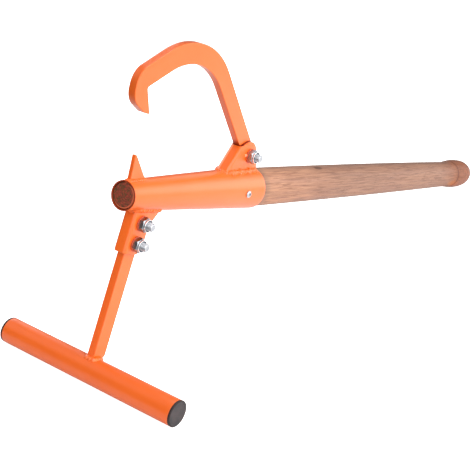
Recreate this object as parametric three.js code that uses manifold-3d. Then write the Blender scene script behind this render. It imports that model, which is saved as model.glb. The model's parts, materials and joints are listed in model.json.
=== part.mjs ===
// Log lifter: a conical steel socket with a spike, a hinged hook and a bolted T foot, driven onto
// the tapered end of a wooden handle.
//
// Millimetres. Every piece is drawn along the tool's own axis: the socket's nose is the origin,
// +X runs towards the handle's knob, +Z towards the hook and -Y towards the nuts. The foot has a
// frame of its own, leaned towards the nose. At the end the tool is tilted onto its foot bar and
// knob, as it stands by itself on a floor, and the floor is Z = 0.

import * as THREE from 'three';
import { mergeVertices } from 'three/addons/utils/BufferGeometryUtils.js';
import Module from 'manifold-3d';

const wasm = await Module();
wasm.setup();

// Overall length of the tool, nose to knob
const overallLength = 1219;

// Socket: a cone rolled from sheet
const socketLength = 309;
const noseDiameter = 41.5;
const mouthDiameter = 65;
const socketWall = 2;

// Handle: a taper in the socket, a long belly and a knob
const mouthFit = 0.3;
const noseFit = 1.1;
const noseRecess = 1;
const bellyDiameter = 61.2;
const neckDiameter = 52.8;
const neckToEnd = 126;
const knobDiameter = 60;
const knobToEnd = 74;

// Screws that hold the handle in the socket
const screwSetback = 45;
const screwDiameter = 5;
const screwLength = 26;
const screwHeadDiameter = 11;
const screwHeadHeight = 3.2;
const crossWidth = 1.2;
const crossLength = 6;
const crossDepth = 1.4;

// Spike on top of the nose
const spikeThickness = 6;
const spikeSetback = 5;
const spikeHeight = 35;
const spikeFoot = 32.5;
const spikeTip = 3;
const spikeWeldRadius = 2.2;

// Hook: flat bar bent to a crown and a beak. Its reach is from pivot to beak, and its rise is
// from pivot to the corner where the crown's two straight runs would meet.
const hookThickness = 12;
const hookReach = 303.5;
const hookRise = 187;
const crownOuterRadius = 125;
const crownInnerRadius = 104;
const browRadius = 30;
const chinRadius = 24;
const throatRadius = 3;
const heelRadius = 3;
const tipRadius = 1.5;
const hookEyeRadius = 16.5;
const hookInnerOffset = 9.3;
const hookEdge = 0.8;

// Pivot of the hook, from the socket's mouth and its top
const pivotSetback = 33.5;
const pivotRise = 22.9;

// Clevis of the hook: a bent plate, its web in front and its ears beside the hook
const plateThickness = 4;
const bendRadius = 1;
const hookSideFit = 0.5;
const clevisLean = 34;
const clevisWebToPivot = 30.7;
const clevisTopSlope = 22;
const clevisRearLean = 22;
const clevisRearReach = 28.5;
const clevisEarRadius = 22.5;

// Foot: bracket, leg and bar
const footLean = 7.2;
const legSetback = 45;
const legDepth = 25;
const legThickness = 12;
const legEdge = 0.8;
const legFit = 0.4;
const legFrontFit = 2;
const footDrop = 254;
const barOffset = 5;
const barLength = 304;
const barDiameter = 38;
const barWall = 2;
const legChamfer = 7;
const legSeatDepth = 3;
const legTopGap = 4;
const bracketRearMargin = 5.5;
const bracketEnd = 15.5;
const bracketEndRadius = 14;
const gussetDrop = 2.5;
const gussetSlope = 55;
const gussetRadius = 12;

// Bolts of the foot
const footBoltDrop = 16;
const footBoltSpacing = 29;

// End caps of the foot bar
const capFlange = 3;
const capEdge = 1;
const capPlugLength = 18;
const capWall = 2;

// Fasteners, M12, with lock nuts that hold a plastic ring
const boltDiameter = 12;
const boltHeadDiameter = 22;
const boltHeadHeight = 4.5;
const boltPastNut = 7.7;
const boltPointChamfer = 1.2;
const hexAcrossFlats = 19;
const nutHexHeight = 7.2;
const nutCollarHeight = 2.6;
const nutCollarDiameter = 17.6;
const nutLip = 0.8;
const washerDiameter = 22;
const washerThickness = 2.5;

// Weld beads
const weldRadius = 4;
const weldInset = 1.2;

// Clearances, and how far a cutting shape runs past what it cuts
const seatGap = 0.3;
const boltFit = 0.3;
const overrun = 20;

// Facets: sides of the large and small rounds, and the largest turn of an arc's step
const largeSides = 48;
const smallSides = 24;
const beadSides = 10;
const arcStep = 7.5;
const bodySteps = 8;
const knobSteps = 7;
const domeSteps = 5;

// Places worked out from the sizes above
const degree = Math.PI / 180;
const noseRadius = noseDiameter / 2;
const mouthRadius = mouthDiameter / 2;
const barRadius = barDiameter / 2;
const boltRadius = boltDiameter / 2;
const boltHoleRadius = boltRadius + boltFit;
const socketRadiusAt = (x) => noseRadius + (mouthRadius - noseRadius) * x / socketLength;
const pivotX = socketLength - pivotSetback;
const pivotZ = socketRadiusAt(pivotX) + pivotRise;
const clevisWidth = hookThickness + 2 * (hookSideFit + plateThickness);
const bracketWidth = legThickness + 2 * (legFit + plateThickness);
const footBoltZ = [0, 1].map((n) => -(socketRadiusAt(legSetback) + footBoltDrop + n * footBoltSpacing));
const legTopZ = -(socketRadiusAt(legSetback + legDepth / 2) + legTopGap);
const legEndZ = -(footDrop - barRadius + legSeatDepth);

// Materials
const paint = () => new THREE.MeshStandardMaterial({ color: 0xf9743a, roughness: 0.42, metalness: 0.1 });
const wood = () => new THREE.MeshStandardMaterial({ color: 0xc79a80, roughness: 0.7, metalness: 0 });
const zinc = () => new THREE.MeshStandardMaterial({ color: 0xc9ccd2, roughness: 0.28, metalness: 0.95 });
const blackPlastic = () => new THREE.MeshStandardMaterial({ color: 0x2e2e31, roughness: 0.6, metalness: 0 });
const nylon = () => new THREE.MeshStandardMaterial({ color: 0xeef0f2, roughness: 0.45, metalness: 0 });

// A closed geometry as a solid. Triangles that a pole has drawn together are left out.
function solidOf(geometry) {
  const bare = geometry.clone();
  bare.deleteAttribute('normal');
  bare.deleteAttribute('uv');
  const welded = mergeVertices(bare);
  const corners = welded.index.array;
  const kept = [];
  for (let i = 0; i < corners.length; i += 3) {
    const [a, b, c] = corners.slice(i, i + 3);
    if (a !== b && b !== c && c !== a) kept.push(a, b, c);
  }
  const vertProperties = new Float32Array(welded.attributes.position.array);
  return new wasm.Manifold(new wasm.Mesh({ numProp: 3, vertProperties, triVerts: new Uint32Array(kept) }));
}

// A solid back as a geometry with flat facets
function geometryOf(solid) {
  const { vertProperties, triVerts, numProp } = solid.getMesh();
  const places = new Float32Array(vertProperties.length / numProp * 3);
  for (let i = 0; i < places.length / 3; i += 1) {
    places.set(vertProperties.subarray(i * numProp, i * numProp + 3), i * 3);
  }
  const geometry = new THREE.BufferGeometry();
  geometry.setAttribute('position', new THREE.BufferAttribute(places, 3));
  geometry.setIndex(new THREE.BufferAttribute(new Uint32Array(triVerts), 1));
  const flat = geometry.toNonIndexed();
  flat.computeVertexNormals();
  return flat;
}

const join = (solids) => solids.reduce((sum, solid) => sum.add(solid));
const cut = (solid, tools) => tools.reduce((rest, tool) => rest.subtract(tool), solid);

// Points of a closed outline whose corners are rounded. Each corner is [x, y, radius].
function roundedOutline(corners) {
  const points = [];
  corners.forEach(([x, y, radius = 0], i) => {
    const corner = new THREE.Vector2(x, y);
    const [beforeX, beforeY] = corners.at(i - 1);
    const [afterX, afterY] = corners[(i + 1) % corners.length];
    if (radius === 0) {
      points.push(corner);
      return;
    }
    const back = new THREE.Vector2(beforeX - x, beforeY - y).normalize();
    const on = new THREE.Vector2(afterX - x, afterY - y).normalize();
    const half = Math.acos(back.dot(on)) / 2;
    const middle = back.clone().add(on).normalize();
    const centre = corner.clone().addScaledVector(middle, radius / Math.sin(half));
    const turn = Math.PI - 2 * half;
    const side = Math.sign(on.cross(back));
    const first = middle.angle() + Math.PI - side * turn / 2;
    const steps = Math.max(2, Math.ceil(turn / (arcStep * degree)));
    for (let n = 0; n <= steps; n += 1) {
      const angle = first + side * turn * n / steps;
      points.push(new THREE.Vector2(Math.cos(angle), Math.sin(angle)).multiplyScalar(radius).add(centre));
    }
  });
  return points;
}

// A flat plate that stands on the plane Y = 0, from an outline of (x, z) points, bevelled at its edges
function plate(points, thickness, bevel = 0) {
  const geometry = new THREE.ExtrudeGeometry(new THREE.Shape(points), {
    depth: thickness - 2 * bevel,
    bevelEnabled: bevel > 0,
    bevelSize: bevel,
    bevelThickness: bevel,
    bevelOffset: -bevel,
    bevelSegments: 1,
    steps: 1,
  });
  geometry.translate(0, 0, bevel - thickness / 2);
  geometry.rotateX(Math.PI / 2);
  return solidOf(geometry);
}

// A round body about the X axis from [x, radius] points, first to last along +X
function turned(profile, sides) {
  const geometry = new THREE.LatheGeometry(profile.map(([x, r]) => new THREE.Vector2(r, x)), sides);
  geometry.rotateZ(-Math.PI / 2);
  return geometry;
}

// A round body about an axis along Y through (x, z), from [y, radius] points
function turnedAcross(profile, sides, x = 0, z = 0) {
  const geometry = new THREE.LatheGeometry(profile.map(([y, r]) => new THREE.Vector2(r, y)), sides);
  geometry.translate(x, 0, z);
  return geometry;
}

// A pin across the tool, for a hole: from one side to the other of a width
function crossPin(radius, width, x, z, sides = smallSides) {
  const half = width / 2 + overrun;
  return solidOf(turnedAcross([[-half, 0], [-half, radius], [half, radius], [half, 0]], sides, x, z));
}

// The socket's outer cone, grown by a gap and run on past both ends
function socketCone(gap = seatGap) {
  const start = -overrun;
  const end = socketLength + overrun;
  const radius = (x) => socketRadiusAt(x) + gap;
  return turned([[start, 0], [start, radius(start)], [end, radius(end)], [end, 0]], largeSides);
}

// Height of the socket's outer surface above its axis, to one side of its middle
const socketSurface = (x, y) => Math.sqrt(socketRadiusAt(x) ** 2 - y ** 2);

// A weld bead: round lengths with round joints, along points
function bead(points, radius = weldRadius) {
  const parts = points.map((point) => {
    const joint = new THREE.SphereGeometry(radius, beadSides, beadSides / 2);
    joint.translate(point.x, point.y, point.z);
    return solidOf(joint);
  });
  points.slice(1).forEach((point, i) => {
    const along = point.clone().sub(points[i]);
    const length = new THREE.CylinderGeometry(radius, radius, along.length(), beadSides);
    const upright = new THREE.Vector3(0, 1, 0);
    length.applyQuaternion(new THREE.Quaternion().setFromUnitVectors(upright, along.clone().normalize()));
    length.translate(...point.clone().add(points[i]).multiplyScalar(0.5).toArray());
    parts.push(solidOf(length));
  });
  return join(parts);
}

// The cross-section of a plate bent to a U, web at x = 0 and ears towards +X, seen from above
function bentSection(width, depth) {
  const outer = width / 2;
  const inner = outer - plateThickness;
  const outerBend = bendRadius + plateThickness;
  return roundedOutline([
    [0, -outer, outerBend],
    [depth, -outer],
    [depth, -inner],
    [plateThickness, -inner, bendRadius],
    [plateThickness, inner, bendRadius],
    [depth, inner],
    [depth, outer],
    [0, outer, outerBend],
  ]);
}

// A bent U plate, its section run straight up from one height to another
function bentPlate(width, depth, bottom, top) {
  const geometry = new THREE.ExtrudeGeometry(new THREE.Shape(bentSection(width, depth)), {
    depth: top - bottom,
    bevelEnabled: false,
    steps: 1,
  });
  geometry.translate(0, 0, bottom);
  return geometry;
}

// Where the frame of the foot lies on the tool
const footFrame = new THREE.Matrix4()
  .makeRotationY(footLean * degree)
  .setPosition(legSetback, 0, 0);
const intoFoot = footFrame.clone().invert();

// Socket

function socketTube() {
  const outer = [[0, 0], [0, noseRadius], [socketLength, mouthRadius], [socketLength, 0]];
  const bore = solidOf(socketCone(-socketWall));
  const screwHoles = crossPin(screwDiameter / 2 + seatGap, mouthDiameter, socketLength - screwSetback, 0);
  return geometryOf(cut(solidOf(turned(outer, largeSides)), [bore, screwHoles]));
}

// Handle

const neckX = overallLength - neckToEnd;
const knobX = overallLength - knobToEnd;
const handleMouthRadius = mouthRadius - socketWall - mouthFit;
const handleNoseRadius = noseRadius - socketWall - noseFit;
const bellyShare = 0.58;
const neckPullShare = 0.4;
const knobPullShare = 0.45;
const domeLengthShare = 0.62;
const domeRadiusShare = 0.83;

// The handle's outline outside the socket: a belly, a flare to the knob and a full round end
function handleCurves() {
  const bellyX = socketLength + (neckX - socketLength) * bellyShare;
  const flare = knobX - neckX;
  const body = new THREE.QuadraticBezierCurve(
    new THREE.Vector2(socketLength, handleMouthRadius),
    new THREE.Vector2(bellyX, bellyDiameter / 2),
    new THREE.Vector2(neckX, neckDiameter / 2));
  const knobStart = new THREE.CubicBezierCurve(
    new THREE.Vector2(neckX, neckDiameter / 2),
    new THREE.Vector2(neckX + flare * neckPullShare, neckDiameter / 2),
    new THREE.Vector2(knobX - flare * knobPullShare, knobDiameter / 2),
    new THREE.Vector2(knobX, knobDiameter / 2));
  const dome = new THREE.CubicBezierCurve(
    new THREE.Vector2(knobX, knobDiameter / 2),
    new THREE.Vector2(knobX + knobToEnd * domeLengthShare, knobDiameter / 2),
    new THREE.Vector2(overallLength, knobDiameter / 2 * domeRadiusShare),
    new THREE.Vector2(overallLength, 0));
  return [
    ...body.getPoints(bodySteps),
    ...knobStart.getPoints(knobSteps).slice(1),
    ...dome.getPoints(knobSteps).slice(1),
  ];
}
const handleOutline = handleCurves();

function handle() {
  const profile = [[noseRecess, 0], [noseRecess, handleNoseRadius], ...handleOutline.map((p) => [p.x, p.y])];
  profile[profile.length - 1][1] = 0;
  const stick = solidOf(turned(profile, largeSides));
  const pilot = crossPin(screwDiameter / 2 + seatGap, screwLength, socketLength - screwSetback, 0);
  return geometryOf(cut(stick, [pilot]));
}

// The outline of a domed head on its seat, rim first: a quarter of an ellipse that ends on the axis
function domedHead(seat, radius, height) {
  return Array.from({ length: domeSteps + 1 }, (_, n) => {
    const turn = n / domeSteps * Math.PI / 2;
    return [seat + height * Math.sin(turn), n < domeSteps ? radius * Math.cos(turn) : 0];
  });
}

// Screws, one from each side; side is -1 for the near one and 1 for the far one

function handleScrew(side) {
  const x = socketLength - screwSetback;
  const seat = socketRadiusAt(x) + seatGap;
  const tip = seat - screwLength;
  const shankRadius = screwDiameter / 2;
  const dome = domedHead(seat, screwHeadDiameter / 2, screwHeadHeight);
  const profile = [[tip, 0], [tip + screwDiameter, shankRadius], [seat, shankRadius], ...dome];
  const body = solidOf(turnedAcross(profile, smallSides));
  const slots = [[crossLength, crossWidth], [crossWidth, crossLength]].map(([across, up]) => {
    const slot = new THREE.BoxGeometry(across, screwHeadHeight, up);
    slot.translate(0, seat + screwHeadHeight / 2 + screwHeadHeight - crossDepth, 0);
    return solidOf(slot);
  });
  const geometry = geometryOf(cut(body, slots));
  if (side < 0) geometry.rotateX(Math.PI);
  geometry.translate(x, 0, 0);
  return geometry;
}

// Spike

function spike() {
  const rear = spikeSetback + spikeFoot;
  const tipZ = socketRadiusAt(spikeSetback) + spikeHeight;
  const points = [
    new THREE.Vector2(spikeSetback, 0),
    new THREE.Vector2(rear, 0),
    new THREE.Vector2(rear, socketRadiusAt(rear)),
    new THREE.Vector2(spikeSetback + spikeTip, tipZ),
    new THREE.Vector2(spikeSetback, tipZ),
  ];
  const half = spikeThickness / 2;
  const weld = bead([
    [spikeSetback, -half],
    [rear, -half],
    [rear, half],
    [spikeSetback, half],
    [spikeSetback, -half],
  ].map(([x, y]) => new THREE.Vector3(x, y, socketSurface(x, y) - weldInset)), spikeWeldRadius);
  return geometryOf(cut(join([plate(points, spikeThickness), weld]), [solidOf(socketCone())]));
}

// Hook, in the frame of its pivot: forward is -X and up is +Z. Corners are shares of its reach and rise.
const crownShares = [0.544, 1];
const browShares = [1, 0.598];
const chinShares = [1, 0.398];
const heelShares = [0.907, 0.317];
const tipShares = [0.867, 0.307];
const throatShares = [0.92, 0.496];
const innerCrownShares = [0.55, 0.813];
const hookPlace = ([forwardShare, upShare]) => [-hookReach * forwardShare, hookRise * upShare];

// Where a line from a point touches a circle about the pivot, side 1 behind it and -1 in front
function tangentFoot([x, z], radius, side) {
  const angle = Math.atan2(z, x) - side * Math.acos(radius / Math.hypot(x, z));
  return [radius * Math.cos(angle), radius * Math.sin(angle)];
}

const innerCrown = hookPlace(innerCrownShares);
const innerFoot = tangentFoot(innerCrown, hookInnerOffset, -1);

function hook() {
  const crown = hookPlace(crownShares);
  const outline = roundedOutline([
    innerFoot,
    tangentFoot(crown, hookEyeRadius, 1),
    [...crown, crownOuterRadius],
    [...hookPlace(browShares), browRadius],
    [...hookPlace(chinShares), chinRadius],
    [...hookPlace(heelShares), heelRadius],
    [...hookPlace(tipShares), tipRadius],
    [...hookPlace(throatShares), throatRadius],
    [...innerCrown, crownInnerRadius],
  ]);
  const half = hookThickness / 2;
  const rim = hookEyeRadius - hookEdge;
  const eye = solidOf(turnedAcross([
    [-half, 0],
    [-half, rim],
    [hookEdge - half, hookEyeRadius],
    [half - hookEdge, hookEyeRadius],
    [half, rim],
    [half, 0],
  ], smallSides));
  const hole = crossPin(boltHoleRadius, hookThickness, 0, 0);
  return geometryOf(cut(join([plate(outline, hookThickness, hookEdge), eye]), [hole]));
}

// Clevis, in the frame of the pivot

// Where two lines meet, each all points whose product with a unit normal is the distance given
function meet([ax, az], aDistance, [bx, bz], bDistance) {
  const area = ax * bz - az * bx;
  return [(aDistance * bz - bDistance * az) / area, (bDistance * ax - aDistance * bx) / area];
}

function hookClevis() {
  const lean = clevisLean * degree;
  const slope = clevisTopSlope * degree;
  const rear = clevisRearLean * degree;
  const sunk = pivotRise + overrun;

  // The hook at rest lies along the web's top edge, a seat gap clear of it
  const hookSide = innerFoot.map((value) => value / hookInnerOffset);
  const webSide = [-Math.cos(lean), Math.sin(lean)];
  const webTop = meet(webSide, clevisWebToPivot, hookSide, hookInnerOffset + seatGap);
  const webBottom = meet(webSide, clevisWebToPivot, [0, 1], -sunk);
  const rearSide = [Math.cos(rear), Math.sin(rear)];
  const rearDistance = clevisRearReach * rearSide[0] - pivotRise * rearSide[1];
  const rearBottom = meet(rearSide, rearDistance, [0, 1], -sunk);
  const topSide = [-Math.sin(slope), Math.cos(slope)];
  const topDistance = webTop[0] * topSide[0] + webTop[1] * topSide[1];
  const earCorner = meet(topSide, topDistance, rearSide, rearDistance);
  const earOutline = roundedOutline([webBottom, rearBottom, [...earCorner, clevisEarRadius], webTop]);
  const ears = plate(earOutline, clevisWidth);

  // The bent plate, leaned back until its web lies in front of the pivot
  const reach = clevisWebToPivot + clevisRearReach + sunk;
  const bent = bentPlate(clevisWidth, clevisWebToPivot + reach, -reach, reach);
  bent.translate(-clevisWebToPivot, 0, 0);
  bent.rotateY(lean);

  // Room for the hook's shank where it passes over the web
  const along = [-hookSide[1], hookSide[0]];
  const shankCorner = (side, depth) => [0, 1].map((i) => (
    hookSide[i] * (hookInnerOffset + seatGap - depth) + along[i] * side * reach));
  const room = plate(
    [[1, 0], [-1, 0], [-1, reach], [1, reach]].map((corner) => new THREE.Vector2(...shankCorner(...corner))),
    clevisWidth - 2 * plateThickness);

  const frontX = meet(webSide, clevisWebToPivot, [0, 1], -pivotRise)[0];
  const half = clevisWidth / 2;
  const corner = bendRadius + plateThickness;
  const weld = bead([
    [clevisRearReach, -half],
    [frontX + corner, -half],
    [frontX, corner - half],
    [frontX, half - corner],
    [frontX + corner, half],
    [clevisRearReach, half],
  ].map(([x, y]) => new THREE.Vector3(x, y, socketSurface(pivotX + x, y) - weldInset - pivotZ)));

  const cone = socketCone();
  cone.translate(-pivotX, 0, -pivotZ);
  const hole = crossPin(boltHoleRadius, clevisWidth, 0, 0);
  const shell = cut(solidOf(bent).intersect(ears), [room, hole]);
  return geometryOf(cut(join([shell, weld]), [solidOf(cone)]));
}

// Foot, in a frame with its origin on the socket's axis and the leg running down -Z

function footBracket() {
  const front = -(legDepth / 2 + legFrontFit + plateThickness);
  const rear = legDepth / 2 + bracketRearMargin;
  const bottom = footBoltZ[1] - bracketEnd;
  const gussetZ = footBoltZ[0] - gussetDrop;
  const gussetTop = rear - gussetZ / Math.tan(gussetSlope * degree);
  const ears = plate(roundedOutline([
    [front, 0],
    [front, bottom],
    [rear, bottom, bracketEndRadius],
    [rear, gussetZ, gussetRadius],
    [gussetTop, 0],
  ]), bracketWidth);
  const bent = bentPlate(bracketWidth, gussetTop + overrun - front, bottom - overrun, overrun);
  bent.translate(front, 0, 0);

  // The bead runs round the plate's outside, on the underside of the socket
  const lean = footLean * degree;
  const half = bracketWidth / 2;
  const corner = bendRadius + plateThickness;
  const rearTop = rear - (gussetZ + noseRadius) / Math.tan(gussetSlope * degree);
  const weld = bead([
    [rearTop, -half],
    [front + corner, -half],
    [front, corner - half],
    [front, half - corner],
    [front + corner, half],
    [rearTop, half],
  ].map(([x, y]) => {
    const drop = socketSurface(legSetback + x, y) - weldInset;
    return new THREE.Vector3(x, y, (x * Math.sin(lean) - drop) / Math.cos(lean));
  }));

  const cone = socketCone();
  cone.applyMatrix4(intoFoot);
  const holes = footBoltZ.map((z) => crossPin(boltHoleRadius, bracketWidth, 0, z));
  return geometryOf(cut(join([cut(solidOf(bent).intersect(ears), holes), weld]), [solidOf(cone)]));
}

function footLeg() {
  const half = legDepth / 2;
  const side = legThickness / 2;
  const bar = plate(roundedOutline([
    [-half, legTopZ],
    [-half, legEndZ],
    [half - legChamfer, legEndZ],
    [half, legEndZ + legChamfer],
    [half, legTopZ],
  ]), legThickness, legEdge);
  const barTop = (x) => -footDrop + Math.sqrt(barRadius ** 2 - (x + barOffset) ** 2) - weldInset;
  const weld = bead([
    [half - legChamfer, -side],
    [-barOffset, -side],
    [-half, -side],
    [-half, side],
    [-barOffset, side],
    [half - legChamfer, side],
    [half - legChamfer, -side],
  ].map(([x, y]) => new THREE.Vector3(x, y, barTop(x))));
  const holes = footBoltZ.map((z) => crossPin(boltHoleRadius, legThickness, 0, z));
  const cope = crossPin(barRadius + seatGap, barLength, -barOffset, -footDrop, largeSides);
  return geometryOf(cut(join([cut(bar, holes), weld]), [cope]));
}

function footBar() {
  const half = barLength / 2;
  const outer = [[-half, 0], [-half, barRadius], [half, barRadius], [half, 0]];
  const bore = crossPin(barRadius - barWall, barLength, 0, 0, largeSides);
  return geometryOf(cut(solidOf(turnedAcross(outer, largeSides)), [bore]));
}

// A plug with a flange, drawn for the far end of the bar
function endCap() {
  const seat = barLength / 2;
  const face = seat + seatGap + capFlange;
  const plug = barRadius - barWall - seatGap;
  return geometryOf(solidOf(turnedAcross([
    [seat, 0],
    [seat, plug - capWall],
    [seat - capPlugLength, plug - capWall],
    [seat - capPlugLength, plug],
    [seat + seatGap, plug],
    [seat + seatGap, barRadius],
    [face - capEdge, barRadius],
    [face, barRadius - capEdge],
    [face, 0],
  ], largeSides)));
}

// Fasteners, drawn about the Y axis

const hexSides = 6;
const hexRadius = hexAcrossFlats / 2 / Math.cos(Math.PI / hexSides);
const seatOf = (width) => width / 2 + seatGap;
const washedSeatOf = (width) => seatOf(width) + washerThickness + seatGap;

// The nut's hexagon, its corners turned down at the end away from its seat at Y = 0
function hexagon() {
  const prism = new THREE.CylinderGeometry(hexRadius, hexRadius, nutHexHeight, hexSides);
  prism.translate(0, nutHexHeight / 2, 0);
  const flat = hexAcrossFlats / 2;
  const turnDown = turnedAcross([
    [-overrun, 0],
    [-overrun, hexRadius],
    [nutHexHeight - (hexRadius - flat), hexRadius],
    [nutHexHeight, flat],
    [nutHexHeight, 0],
  ], smallSides);
  return solidOf(prism).intersect(solidOf(turnDown));
}

// A bolt whose domed head is on the far side of a width, its point past the nut on the near side
function domedBolt(width) {
  const seat = seatOf(width);
  const point = -(washedSeatOf(width) + nutHexHeight + nutCollarHeight + boltPastNut);
  return geometryOf(solidOf(turnedAcross([
    [point, 0],
    [point, boltRadius - boltPointChamfer],
    [point + boltPointChamfer, boltRadius],
    [seat, boltRadius],
    ...domedHead(seat, boltHeadDiameter / 2, boltHeadHeight),
  ], smallSides)));
}

// A nut with its seat at Y = 0 and its collar above
function lockNut() {
  const collar = nutCollarDiameter / 2;
  const top = nutHexHeight + nutCollarHeight;
  const crown = solidOf(turnedAcross([
    [nutHexHeight / 2, 0],
    [nutHexHeight / 2, collar],
    [top - nutLip, collar],
    [top, collar - nutLip],
    [top, 0],
  ], smallSides));
  const ringRoom = collar - nutLip;
  const bore = solidOf(turnedAcross([
    [-overrun, 0],
    [-overrun, boltHoleRadius],
    [nutHexHeight, boltHoleRadius],
    [nutHexHeight, ringRoom],
    [top - nutLip, ringRoom],
    [top - nutLip, ringRoom - nutLip / 2],
    [top + overrun, ringRoom - nutLip / 2],
    [top + overrun, 0],
  ], smallSides));
  return geometryOf(cut(join([hexagon(), crown]), [bore]));
}

// The plastic ring inside a nut's collar
function nutRing() {
  const bottom = nutHexHeight + seatGap;
  const top = nutHexHeight + nutCollarHeight - nutLip - seatGap;
  const outer = nutCollarDiameter / 2 - nutLip - seatGap;
  return geometryOf(solidOf(turnedAcross([
    [bottom, boltHoleRadius],
    [bottom, outer],
    [top, outer],
    [top, boltHoleRadius],
    [bottom, boltHoleRadius],
  ], smallSides)));
}

function washer() {
  return geometryOf(solidOf(turnedAcross([
    [0, boltHoleRadius],
    [0, washerDiameter / 2],
    [washerThickness, washerDiameter / 2],
    [washerThickness, boltHoleRadius],
    [0, boltHoleRadius],
  ], smallSides)));
}

// Assembly

function add(group, name, geometry, material) {
  const mesh = new THREE.Mesh(geometry, material);
  mesh.name = name;
  group.add(mesh);
  return mesh;
}

// A bolt through a width at (x, z), with a washer and a lock nut on the near side
function addBolt(group, name, width, x, z) {
  const place = (mesh, y) => mesh.position.set(x, y, z);
  place(add(group, `${name}_bolt`, domedBolt(width), zinc()), 0);
  place(add(group, `${name}_washer`, washer(), zinc()), -seatOf(width) - washerThickness);
  [
    add(group, `${name}_nut`, lockNut(), zinc()),
    add(group, `${name}_nut_ring`, nutRing(), nylon()),
  ].forEach((mesh) => {
    mesh.rotation.x = Math.PI;
    place(mesh, -washedSeatOf(width));
  });
}

const lifter = new THREE.Group();
add(lifter, 'socket_tube', socketTube(), paint());
add(lifter, 'handle', handle(), wood());
add(lifter, 'near_handle_screw', handleScrew(-1), zinc());
add(lifter, 'far_handle_screw', handleScrew(1), zinc());
add(lifter, 'spike', spike(), paint());

const pivot = new THREE.Group();
pivot.position.set(pivotX, 0, pivotZ);
add(pivot, 'hook', hook(), paint());
add(pivot, 'hook_clevis', hookClevis(), paint());
addBolt(pivot, 'pivot', clevisWidth, 0, 0);
lifter.add(pivot);

const foot = new THREE.Group();
foot.position.set(legSetback, 0, 0);
foot.rotation.y = footLean * degree;
add(foot, 'foot_bracket', footBracket(), paint());
add(foot, 'foot_leg', footLeg(), paint());
add(foot, 'foot_bar', footBar(), paint()).position.set(-barOffset, 0, -footDrop);
[['near', Math.PI], ['far', 0]].forEach(([side, turn]) => {
  const cap = add(foot, `${side}_end_cap`, endCap(), blackPlastic());
  cap.position.set(-barOffset, 0, -footDrop);
  cap.rotation.x = turn;
});
addBolt(foot, 'upper_foot', bracketWidth, 0, footBoltZ[0]);
addBolt(foot, 'lower_foot', bracketWidth, 0, footBoltZ[1]);
lifter.add(foot);

// The tool stands on its foot bar and knob. The line of the floor touches the bar from below and
// passes under every point of the handle, so its slope is the least that any of them allows.
const barCentre = new THREE.Vector3(-barOffset, 0, -footDrop).applyMatrix4(footFrame);
const restSlopes = handleOutline.map((point) => {
  const dx = point.x - barCentre.x;
  const dz = -point.y - barCentre.z;
  return Math.atan2(dz, dx) + Math.asin(barRadius / Math.hypot(dx, dz));
});
lifter.rotation.y = Math.min(...restSlopes);

// The origin is on the floor, below the middle of the tool's length
const box = new THREE.Box3().setFromObject(lifter, true);
lifter.position.set(-(box.min.x + box.max.x) / 2, 0, -box.min.z);

export default lifter;
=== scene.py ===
# %% [markdown]
# # A log lifter, dressed for its picture
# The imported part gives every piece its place: a painted steel socket on a wooden handle, a spike,
# a hinged hook and a bolted T foot. This lesson loads that part as a fixed frame, works out finer
# surfaces round it with numpy, and gives each one a procedural finish.

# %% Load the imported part
import json
import math

import bmesh
import bpy
import numpy as np
from mathutils import Matrix, Vector
from mathutils.geometry import delaunay_2d_cdt


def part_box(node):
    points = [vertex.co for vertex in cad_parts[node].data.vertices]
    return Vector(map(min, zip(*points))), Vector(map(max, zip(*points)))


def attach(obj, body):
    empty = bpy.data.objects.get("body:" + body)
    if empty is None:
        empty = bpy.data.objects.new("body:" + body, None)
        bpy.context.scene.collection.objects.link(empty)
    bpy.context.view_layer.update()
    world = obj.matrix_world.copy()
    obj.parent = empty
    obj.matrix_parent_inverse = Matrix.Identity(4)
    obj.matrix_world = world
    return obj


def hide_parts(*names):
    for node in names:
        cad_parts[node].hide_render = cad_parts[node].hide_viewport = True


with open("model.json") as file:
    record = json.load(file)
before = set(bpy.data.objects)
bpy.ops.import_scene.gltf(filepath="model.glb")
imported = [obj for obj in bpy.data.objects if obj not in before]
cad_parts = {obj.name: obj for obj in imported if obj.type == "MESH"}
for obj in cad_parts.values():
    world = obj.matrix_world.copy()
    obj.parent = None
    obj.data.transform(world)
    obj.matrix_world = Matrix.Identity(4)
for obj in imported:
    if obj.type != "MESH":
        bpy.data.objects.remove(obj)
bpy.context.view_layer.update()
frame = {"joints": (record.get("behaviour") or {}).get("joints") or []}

# %% [markdown]
# ## Where the tool stands
# A maker works from a list of sizes, and so does this lesson: each piece below begins with its own
# lengths, in millimetres turned into metres. They could be read back from the vertices of the packed
# pieces, but then nobody could see which size gives which shape. These first ones say where the hook
# and the foot are on the tool's own axis, which has the nose at the origin and the handle along +X.

# %% Lengths that place the hook and the foot
MM = 0.001
socket_length = 309 * MM
nose_radius = 20.75 * MM
mouth_radius = 32.5 * MM
pivot_setback = 33.5 * MM
pivot_rise = 22.9 * MM
leg_setback = 45 * MM
foot_lean = math.radians(7.2)
foot_drop = 254 * MM
bar_offset = 5 * MM
pivot_x = socket_length - pivot_setback
print("hook's pivot behind the nose in mm", round(pivot_x / MM, 1))

# %% [markdown]
# The tool is then tilted onto its foot bar and knob. The tilt could be typed in. Here it comes from
# the frame itself: the line from the hook's pivot to the middle of the foot bar is known both in the
# tool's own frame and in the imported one, and the angle between the two is the tilt.

# %% Work out the tilt and the frames
def socket_radius(x):
    """The socket's outer radius, a straight line from the nose's radius to the mouth's."""
    return nose_radius + (mouth_radius - nose_radius) * x / socket_length


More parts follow.
